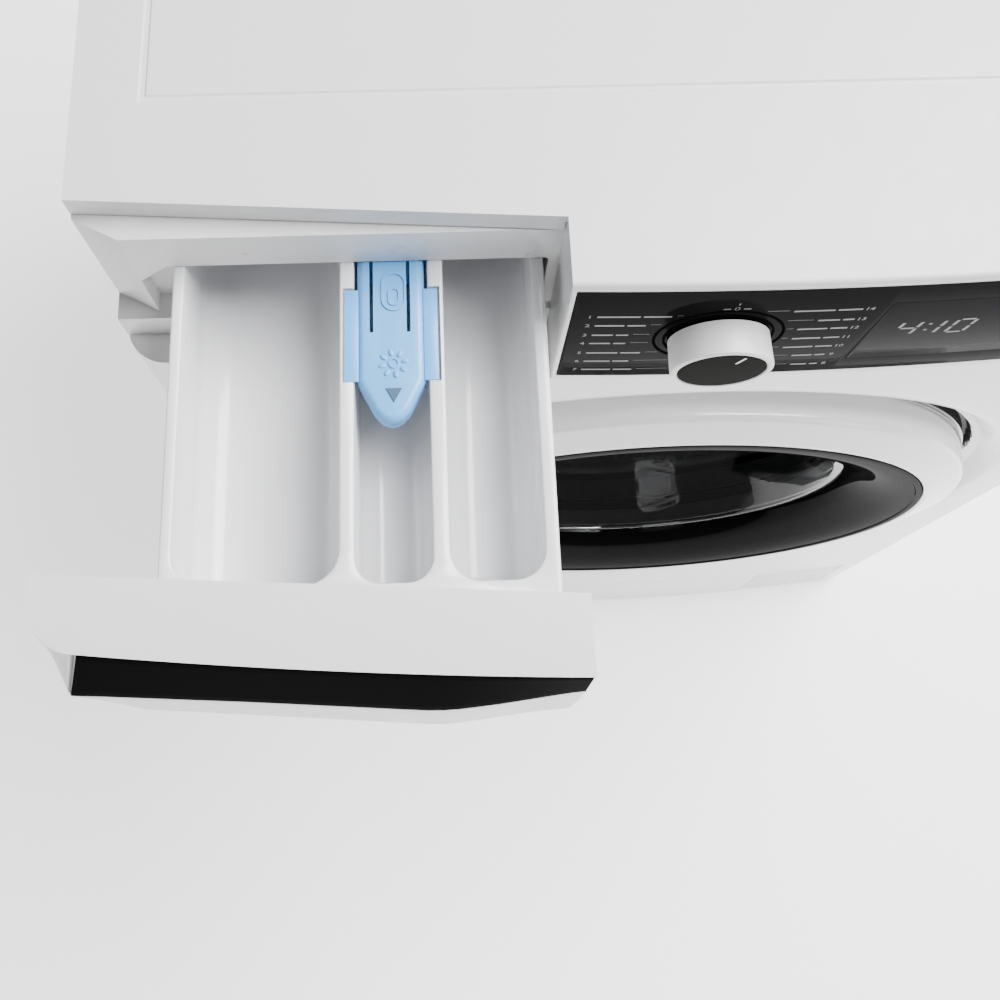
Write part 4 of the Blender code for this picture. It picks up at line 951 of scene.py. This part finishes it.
cut_across(bm, "z", [GATE_LOW, GATE_TOP])
gone = faces_where(bm, lambda c, f: GATE_L < c.x < GATE_R and GATE_LOW < c.z < GATE_TOP
                   and c.y < 1)
bmesh.ops.delete(bm, geom=gone, context="FACES")
lip = [e for e in bm.edges if len(e.link_faces) == 1
       and all(GATE_L - 0.1 < v.co.x < GATE_R + 0.1
               and GATE_LOW - 0.1 < v.co.z < GATE_TOP + 0.1 for v in e.verts)]
ring_out(bm, lip, lambda co: Vector((co.x, co.y + 5.0, co.z)))
bend(bm)
bmesh.ops.recalc_face_normals(bm, faces=bm.faces)
bmesh.ops.solidify(bm, geom=bm.faces[:], thickness=STEEL)
settle("plinth_sheet", bm, "machine", [ENAMEL], ["plinth"])

bm = bmesh.new()
plate(bm, [(FLAP_L, 0, FLAP_LOW), (FLAP_R, 0, FLAP_LOW), (FLAP_R, 0, FLAP_TOP),
           (FLAP_L, 0, FLAP_TOP)], (0, FLAP_THICK, 0))
ease(bm, 1.5, 4, 30, lambda e: runs(e, "y"))
cut_across(bm, "x", span(FLAP_L, FLAP_R, 8))
ease(bm, 0.5, 3, 30, ahead_of(0.01))
bend(bm)
bm = carve(bm, disc(225, -752.5, 9.5, -5, 9, 48))
settle("flap_cover", bm, "flap", [WHITE], ["filter_flap"])

# ---- door ring -------------------------------------------------------------------------------
# Glossy white moulded ring, rounded from its flat front into a deep side. It is cut away at
# the left for the hinge.
CENTRE = Vector((0.0, 0.0, DOOR_Z))
RING_WHITE = skinned("ring white", (0.83, 0.83, 0.825), (0.80, 0.80, 0.795), (0.14, 0.20), 600,
                     0.03, Coat_Weight=0.4, Coat_Roughness=0.08)
HINGE_SEAT = ((-240, 3, DOOR_Z - 47), (-206.5, 30, DOOR_Z + 47))
bm = bmesh.new()
turned(bm, [(199.3, -8.4), (199.7, -9.2), (200.5, -9.7), (202, -9.7), (203.6, -9.2),
            (204.2, -9.0), (222.4, -3.2), (223.4, -2.8), (224.6, -1.9), (225.5, -0.6),
            (225.9, 0.6), (226.1, 1.6), (227.8, 18), (228, 20.6), (227.4, 21.6), (225.8, 21.6),
            (225.5, 20), (225.5, 7), (222.5, 1.5), (216.5, -3.3), (204, -6.2), (199.3, -5.6)],
       CENTRE, 160)
bm = carve(bm, cube(*HINGE_SEAT))
settle("ring_moulding", bm, "door", [RING_WHITE], ["door_ring"], smooth=40)

# ---- door trim and glass ---------------------------------------------------------------------
# A gloss black funnel inside the ring, with two fine steps, holds the smoked bowl of pressed
# glass. A grey moulded frame clamps the bowl from behind.
BLACK_RIM = blacked("black funnel", (0.05, 0.09), 200, 0.01, 0.10, 0.03)
bm = bmesh.new()
turned(bm, [(199.0, -9.0), (198.4, -9.8), (197.2, -10.0), (194.5, -9.9), (194.0, -9.2),
            (190, -8.8), (186, -8.6), (180, -7.2), (174, -5.2), (170, -3.4), (165, -0.8),
            (160.5, 1.9), (157, 4.2), (153.8, 7.2), (151.6, 10.4), (150.4, 13.4), (150, 16),
            (199, 16)], CENTRE, 160)
settle("black_funnel", bm, "door", [BLACK_RIM], ["door_trim"], smooth=40)

GLASS, tree, shader = blank_material("smoked bowl glass")
ripple = add_node(tree, "ShaderNodeTexNoise", Scale=9.0,
                  Vector=add_node(tree, "ShaderNodeTexCoord").outputs["Object"])
depth = mixed(tree, ripple.outputs["Fac"], (0.22, 0.225, 0.23, 1), (0.27, 0.275, 0.28, 1))
waves = add_node(tree, "ShaderNodeBump", Strength=0.05, Distance=0.002,
                 Height=ripple.outputs["Fac"])
fill(tree, shader, Base_Color=depth, Normal=waves.outputs["Normal"], Roughness=0.02,
     Transmission_Weight=1.0, IOR=1.45)
bm = bmesh.new()
turned(bm, [(0, 105), (30, 104.8), (60, 104), (82, 102), (100, 98), (112, 92), (121, 84),
            (128, 69), (133, 50), (137.5, 34), (141, 22), (143, 17.2), (144, 16.4), (157, 16.4),
            (157, 21), (149.5, 21), (147.5, 23), (143, 36), (138, 53), (133.5, 72), (126, 88),
            (116, 97), (103, 103), (84, 107.2), (62, 109), (31, 109.9), (0, 110)], CENTRE, 144,
       loop=False)
settle("glass_bowl", bm, "door", [GLASS], ["door_glass"], smooth=50)

GREY = skinned("grey plastic", (0.52, 0.53, 0.54), (0.46, 0.47, 0.48), (0.38, 0.50), 900, 0.10)
bm = bmesh.new()
turned(bm, [(157.6, 16.6), (200.4, 16.6), (203, 12), (204, 10.2), (225, 10.2), (225, 21.2),
            (224.4, 21.7), (170, 21.8), (168.6, 22.6), (167, 30), (166.4, 35), (165.6, 36),
            (158.6, 36), (158, 35.4), (157.6, 30)], CENTRE, 144)
bm = carve(bm, cube(*HINGE_SEAT), cube((190, 5, DOOR_Z - 17), (214, 30, DOOR_Z + 17)))
settle("clamp_frame", bm, "door", [GREY], ["door_frame"], smooth=40)

# ---- door gasket -----------------------------------------------------------------------------
# Soft grey rubber bellows from the front panel to the tub. It is one moulding with a fold that
# lets the tub move, and a lip that seals on the glass.
RUBBER = skinned("grey rubber", (0.135, 0.138, 0.142), (0.10, 0.103, 0.107), (0.55, 0.72), 700,
                 0.25)
bm = bmesh.new()
turned(bm, [(169.8, 23.2), (171, 23), (176.4, 23), (177.5, 24), (177.6, 26), (180, 27.2),
            (186, 29.4), (187.4, 31), (187.5, 39), (186.6, 41.4), (183.6, 43.8), (183.3, 46),
            (185.6, 50), (186, 52), (186, 61.8), (182.4, 61.8), (182.4, 50.4), (181, 48.6),
            (176, 46.5), (162, 46.5), (159.2, 45.4), (158, 43), (160, 42), (166, 40.8), (169, 39),
            (169.6, 36)], CENTRE, 144)
settle("rubber_bellows", bm, "machine", [RUBBER], ["door_gasket"], smooth=50)

# ---- drum ------------------------------------------------------------------------------------
# Perforated stainless sheet, rolled into a barrel with a rounded front lip. Three stamped
# paddles are riveted inside and a cast spider carries it on the shaft.
PERFORATED, tree, shader = blank_material("perforated stainless")


def sums(tree, operation, *values):
    made = tree.nodes.new("ShaderNodeMath")
    made.operation = operation
    for place, value in enumerate(values):
        put(tree, made.inputs[place], value)
    return made.outputs["Value"]


HOLES_ROUND, HOLE_PITCH, HOLE_R, AXIS_HIGH, BARREL_R = 168, 0.0082, 0.0016, 0.446, 0.236
where = add_node(tree, "ShaderNodeSeparateXYZ",
                 Vector=add_node(tree, "ShaderNodeTexCoord").outputs["Object"]).outputs
height = sums(tree, "SUBTRACT", where["Z"], AXIS_HIGH)
turn = sums(tree, "MULTIPLY", sums(tree, "ARCTAN2", height, where["X"]),
            HOLES_ROUND / (2 * math.pi))
row = sums(tree, "DIVIDE", where["Y"], HOLE_PITCH)
stagger = sums(tree, "MULTIPLY", sums(tree, "FLOORED_MODULO", sums(tree, "FLOOR", row), 2.0), 0.5)
across = sums(tree, "SUBTRACT", sums(tree, "FRACT", sums(tree, "ADD", turn, stagger)), 0.5)
down = sums(tree, "SUBTRACT", sums(tree, "FRACT", row), 0.5)
far = sums(tree, "SQRT", sums(tree, "ADD", sums(tree, "MULTIPLY", across, across),
                              sums(tree, "MULTIPLY", down, down)))
far = sums(tree, "MULTIPLY", far, HOLE_PITCH)
out_from_axis = sums(tree, "SQRT", sums(tree, "ADD", sums(tree, "MULTIPLY", height, height),
                                        sums(tree, "MULTIPLY", where["X"], where["X"])))
# The holes are coloured near black and not metallic: painted shade standing for the dark tub seen
# through them.
hole = sums(tree, "MULTIPLY", sums(tree, "LESS_THAN", far, HOLE_R),
            sums(tree, "GREATER_THAN", out_from_axis, BARREL_R))
grain = add_node(tree, "ShaderNodeTexNoise", Scale=260.0, Detail=3.0)
steel = mixed(tree, grain.outputs["Fac"], (0.50, 0.50, 0.51, 1), (0.62, 0.62, 0.63, 1))
rim_round = add_node(tree, "ShaderNodeMapRange", Value=far, From_Min=HOLE_R * 0.7,
                     From_Max=HOLE_R * 1.5)
pressed = add_node(tree, "ShaderNodeBump", Strength=0.6, Distance=0.0006,
                   Height=rim_round.outputs["Result"])
fill(tree, shader, Base_Color=mixed(tree, hole, steel, (0.012, 0.012, 0.013, 1)),
     Metallic=sums(tree, "SUBTRACT", 1.0, hole), Normal=pressed.outputs["Normal"],
     Roughness=sums(tree, "ADD", sums(tree, "MULTIPLY", hole, 0.5), 0.24))
bm = bmesh.new()
turned(bm, [(0, 392), (60, 392), (66, 389.6), (120, 389.6), (126, 392), (232, 392), (236, 391.2),
            (239.4, 388.4), (241.8, 384), (241.8, 302), (239.9, 297), (241.8, 292), (241.8, 182),
            (239.9, 177), (241.8, 172), (241.8, 92), (239.5, 87.2), (235, 80.4), (229, 76.2),
            (184, 76.2), (181.2, 77), (179.9, 79.2), (179.2, 82), (177.8, 82), (178.4, 78.4),
            (180, 75.6), (183, 75), (229.6, 75), (236, 79.4), (240.8, 86.8), (243, 91.6),
            (243, 384.6), (240.4, 389.4), (236.6, 392.4), (232.6, 393.2), (0, 393.2)],
       CENTRE, 128, loop=False)
settle("drum_barrel", bm, "drum", [PERFORATED], ["drum"], smooth=40)

BRUSHED = skinned("brushed stainless", (0.62, 0.62, 0.63), (0.55, 0.55, 0.56), (0.20, 0.32), 500,
                  0.06, 12, (1, 0.05, 1), Metallic=1.0)
CAST = skinned("cast alloy", (0.56, 0.57, 0.58), (0.44, 0.45, 0.46), (0.42, 0.58), 500, 0.35, 22,
               Metallic=1.0)
ZINC = skinned("zinc sheet", (0.66, 0.67, 0.69), (0.52, 0.53, 0.55), (0.26, 0.42), 300, 0.06, 70,
               Metallic=1.0)


def finish_nodes(material, *names):
    """Gives CAD nodes that keep their own shape a finish."""
    for name in names:
        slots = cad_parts[name].data.materials
        for place in range(len(slots)):
            slots[place] = material


finish_nodes(BRUSHED, "drum_lifter_1", "drum_lifter_2", "drum_lifter_3")
finish_nodes(CAST, "drum_spider", "drum_pulley", "hinge_bracket", "hinge_arm")

# ---- cabinet ---------------------------------------------------------------------------------
# One enamelled steel sheet, 1.5 mm thick, folded round the left side, back and right side. The
# sides carry a shallow stamped field that stiffens them, and the back is open for service.
CABINET_LOW, CABINET_TOP, SIDE_FRONT, SHEET = -836.0, -12.2, 45.0, 1.5
SERVICE_X, SERVICE_Z = 190.0, (-640.0, -150.0)
DRAWER_BAY_BACK, DRAWER_BAY_LOW = 60.3, -112.6
FIELD_FRONT, FIELD_BACK, FIELD_LOW = 100.0, 475.0, -790.0
bm = bmesh.new()
sheet_wall(bm, [(HALF - 12, SIDE_FRONT), (HALF, SIDE_FRONT), (HALF, BODY_BACK), (-HALF, BODY_BACK),
                (-HALF, SIDE_FRONT), (12 - HALF, SIDE_FRONT)], CABINET_LOW, CABINET_TOP)
cut_across(bm, "z", [FIELD_LOW, *SERVICE_Z, DRAWER_BAY_LOW, -90])
cut_across(bm, "y", [DRAWER_BAY_BACK, FIELD_FRONT, FIELD_BACK])
cut_across(bm, "x", [-SERVICE_X, SERVICE_X])
gone = faces_where(bm, lambda c, f: (c.x < -260 and c.y < DRAWER_BAY_BACK
                                     and c.z > DRAWER_BAY_LOW)
                   or (abs(c.x) < SERVICE_X and c.y > 500 and SERVICE_Z[0] < c.z < SERVICE_Z[1]))
bmesh.ops.delete(bm, geom=gone, context="FACES")
point_out(bm, (1, 0, 0), lambda c: c.x > HALF - 1)
for side in (-1, 1):
    field = faces_where(bm, lambda c, f: c.x * side > HALF - 1 and FIELD_FRONT < c.y < FIELD_BACK
                        and FIELD_LOW < c.z < DRAWER_BAY_LOW)
    sink(bm, field, 6.0, 0.8)
for side in (-1, 1):
    ease(bm, 3.0, 4, 60, lambda e: at_corner(e, side * HALF, BODY_BACK)
         or at_corner(e, side * HALF, SIDE_FRONT))
point_out(bm, (1, 0, 0), lambda c: c.x > HALF - 2)
bmesh.ops.solidify(bm, geom=bm.faces[:], thickness=SHEET)


def bore(x, z, radius, near, far):
    """A round cutter or stud along Y."""
    made = bmesh.new()
    bmesh.ops.create_cone(made, cap_ends=True, segments=48, radius1=radius, radius2=radius,
                          depth=far - near,
                          matrix=Matrix.Translation((x, 0.5 * (near + far), z))
                          @ Matrix.Rotation(math.pi / 2, 4, "X"))
    return made


bm = carve(bm, bore(-235, -70, 15.5, 510, 540), bore(262, -120, 13.5, 510, 540))
settle("cabinet_sheet", bm, "machine", [ENAMEL], ["cabinet"])

# ---- rear cover ------------------------------------------------------------------------------
# A zinc-coated pressing screwed over the service opening, with stamped ribs. Grey plugs beside
# it close the holes of the transit bolts.
COVER_HALF, COVER_LOW, COVER_TOP, COVER_NEAR, COVER_DEEP = 205, -655, -135, 525.2, 5.8
RIB_ROWS, RIB_HALF, RIB_HIGH, COVER_FACE = [-560, -480, -400, -320, -240], 150, 13, 530.9
bm = bmesh.new()
plate(bm, [(x, COVER_NEAR, z) for x, z in (
    (-COVER_HALF, COVER_LOW), (COVER_HALF, COVER_LOW), (COVER_HALF, COVER_TOP),
    (-COVER_HALF, COVER_TOP))], (0, COVER_DEEP, 0))
ease(bm, 12, 6, 30, lambda e: runs(e, "y"))
cut_across(bm, "x", [-RIB_HALF, RIB_HALF])
cut_across(bm, "z", [z + s for z in RIB_ROWS for s in (-RIB_HIGH, RIB_HIGH)])
for z in RIB_ROWS:
    rib = faces_where(bm, lambda c, f: c.y > COVER_FACE and abs(c.x) < RIB_HALF
                      and abs(c.z - z) < RIB_HIGH)
    sink(bm, rib, 4.0, 1.4)
ease(bm, 1.4, 3, 60, lambda e: min(v.co.y for v in e.verts) > COVER_FACE)
bm = carve(bm, cube((-198, 500, -648), (198, 527.4, -142)))
settle("rear_pressing", bm, "machine", [ZINC], ["rear_cover"])

SCREWS = [(sx * 201, z) for sx in (-1, 1) for z in (-640, -520, -395, -270, -150)]
SCREWS = [(x * 0.985, z) for x, z in SCREWS] + [(-90, -650), (90, -650), (-90, -140), (90, -140)]
bm = bmesh.new()
for x, z in SCREWS:
    turned(bm, [(0, 530.6), (4.6, 530.6), (4.6, 531.5), (4.1, 532.3), (2.4, 532.9), (1.9, 533.0),
                (1.9, 532.0), (0, 532.0)], Vector((x, 0, z)), 20, loop=False)
settle("cover_screws", bm, "machine", [ZINC])

bm = bmesh.new()
for x in (-247, 247):
    for z in (-300, -560):
        turned(bm, [(0, 524.4), (17, 524.4), (17, 526.4), (16.2, 527.4), (14, 528.0), (8, 528.2),
                    (7.4, 527.0), (0, 527.0)], Vector((x, 0, z)), 40, loop=False)
settle("transit_plugs", bm, "machine", [GREY])

# ---- feet ------------------------------------------------------------------------------------
# Moulded dark plastic pads on threaded stems, each locked by a hexagon nut under the base.
DARK = skinned("dark plastic", (0.050, 0.051, 0.053), (0.036, 0.037, 0.039), (0.40, 0.55), 800,
               0.12)
THREADS = [(5.4 - 0.5 * (k % 2), -834.6 + 0.8 * k) for k in range(36)]
for name, x, y in (("front_left", -262, 85), ("front_right", 262, 85), ("rear_left", -262, 485),
                   ("rear_right", 262, 485)):
    bm = bmesh.new()
    turned(bm, [(0, -850), (19, -850), (20.6, -849.4), (21.5, -848), (21.5, -844), (20.4, -842.6),
                (13.4, -840.6), (9.4, -840.4), (9.4, -835.6), (5.4, -835.4), *THREADS,
                (4.4, -804), (0, -804)], Vector((x, y, 0)), 40, "z", loop=False)
    settle("levelling_foot_" + name, bm, "machine", [DARK], ["foot_" + name],
           smooth=30)

# ---- inner parts -----------------------------------------------------------------------------
# Moulded tub halves, concrete weights, a zinc base, hoses, pump, motor and belt. They are plain
# trade parts, so each keeps its shape and takes the finish of what it is made of.
CONCRETE = skinned("concrete", (0.40, 0.395, 0.385), (0.27, 0.265, 0.255), (0.75, 0.92), 260,
                   0.9, 30)
BLACK_RUBBER = skinned("black rubber", (0.028, 0.028, 0.029), (0.018, 0.018, 0.019), (0.55, 0.75),
                       700, 0.3)
TUB = skinned("tub plastic", (0.55, 0.56, 0.57), (0.47, 0.48, 0.49), (0.40, 0.52), 500, 0.2)
BOARD = skinned("circuit board", (0.030, 0.16, 0.075), (0.018, 0.10, 0.045), (0.25, 0.40), 1500,
                0.2, 160)
HOSE = skinned("hose rubber", (0.16, 0.162, 0.165), (0.12, 0.122, 0.125), (0.5, 0.65), 500, 0.3)
LATCH_WHITE = skinned("latch plastic", (0.70, 0.70, 0.69), (0.62, 0.62, 0.61), (0.30, 0.40),
                      900, 0.1)
finish_nodes(TUB, "tub_front", "tub_rear", "dispenser_housing", "pump_filter")
finish_nodes(CONCRETE, "front_counterweight", "top_counterweight")
finish_nodes(ZINC, "base_plate", "suspension_spring_left", "suspension_spring_right",
             "motor_pulley")
finish_nodes(BRUSHED, "heater")
finish_nodes(CAST, "motor")
finish_nodes(BLACK_RUBBER, "drive_belt")
finish_nodes(HOSE, "drain_hose", "fill_hose", "inlet_hose", "sump_hose")
finish_nodes(DARK, "damper_left", "damper_right", "drain_pump", "inlet_valve", "door_lock")
finish_nodes(BOARD, "control_board")
finish_nodes(LATCH_WHITE, "door_latch")
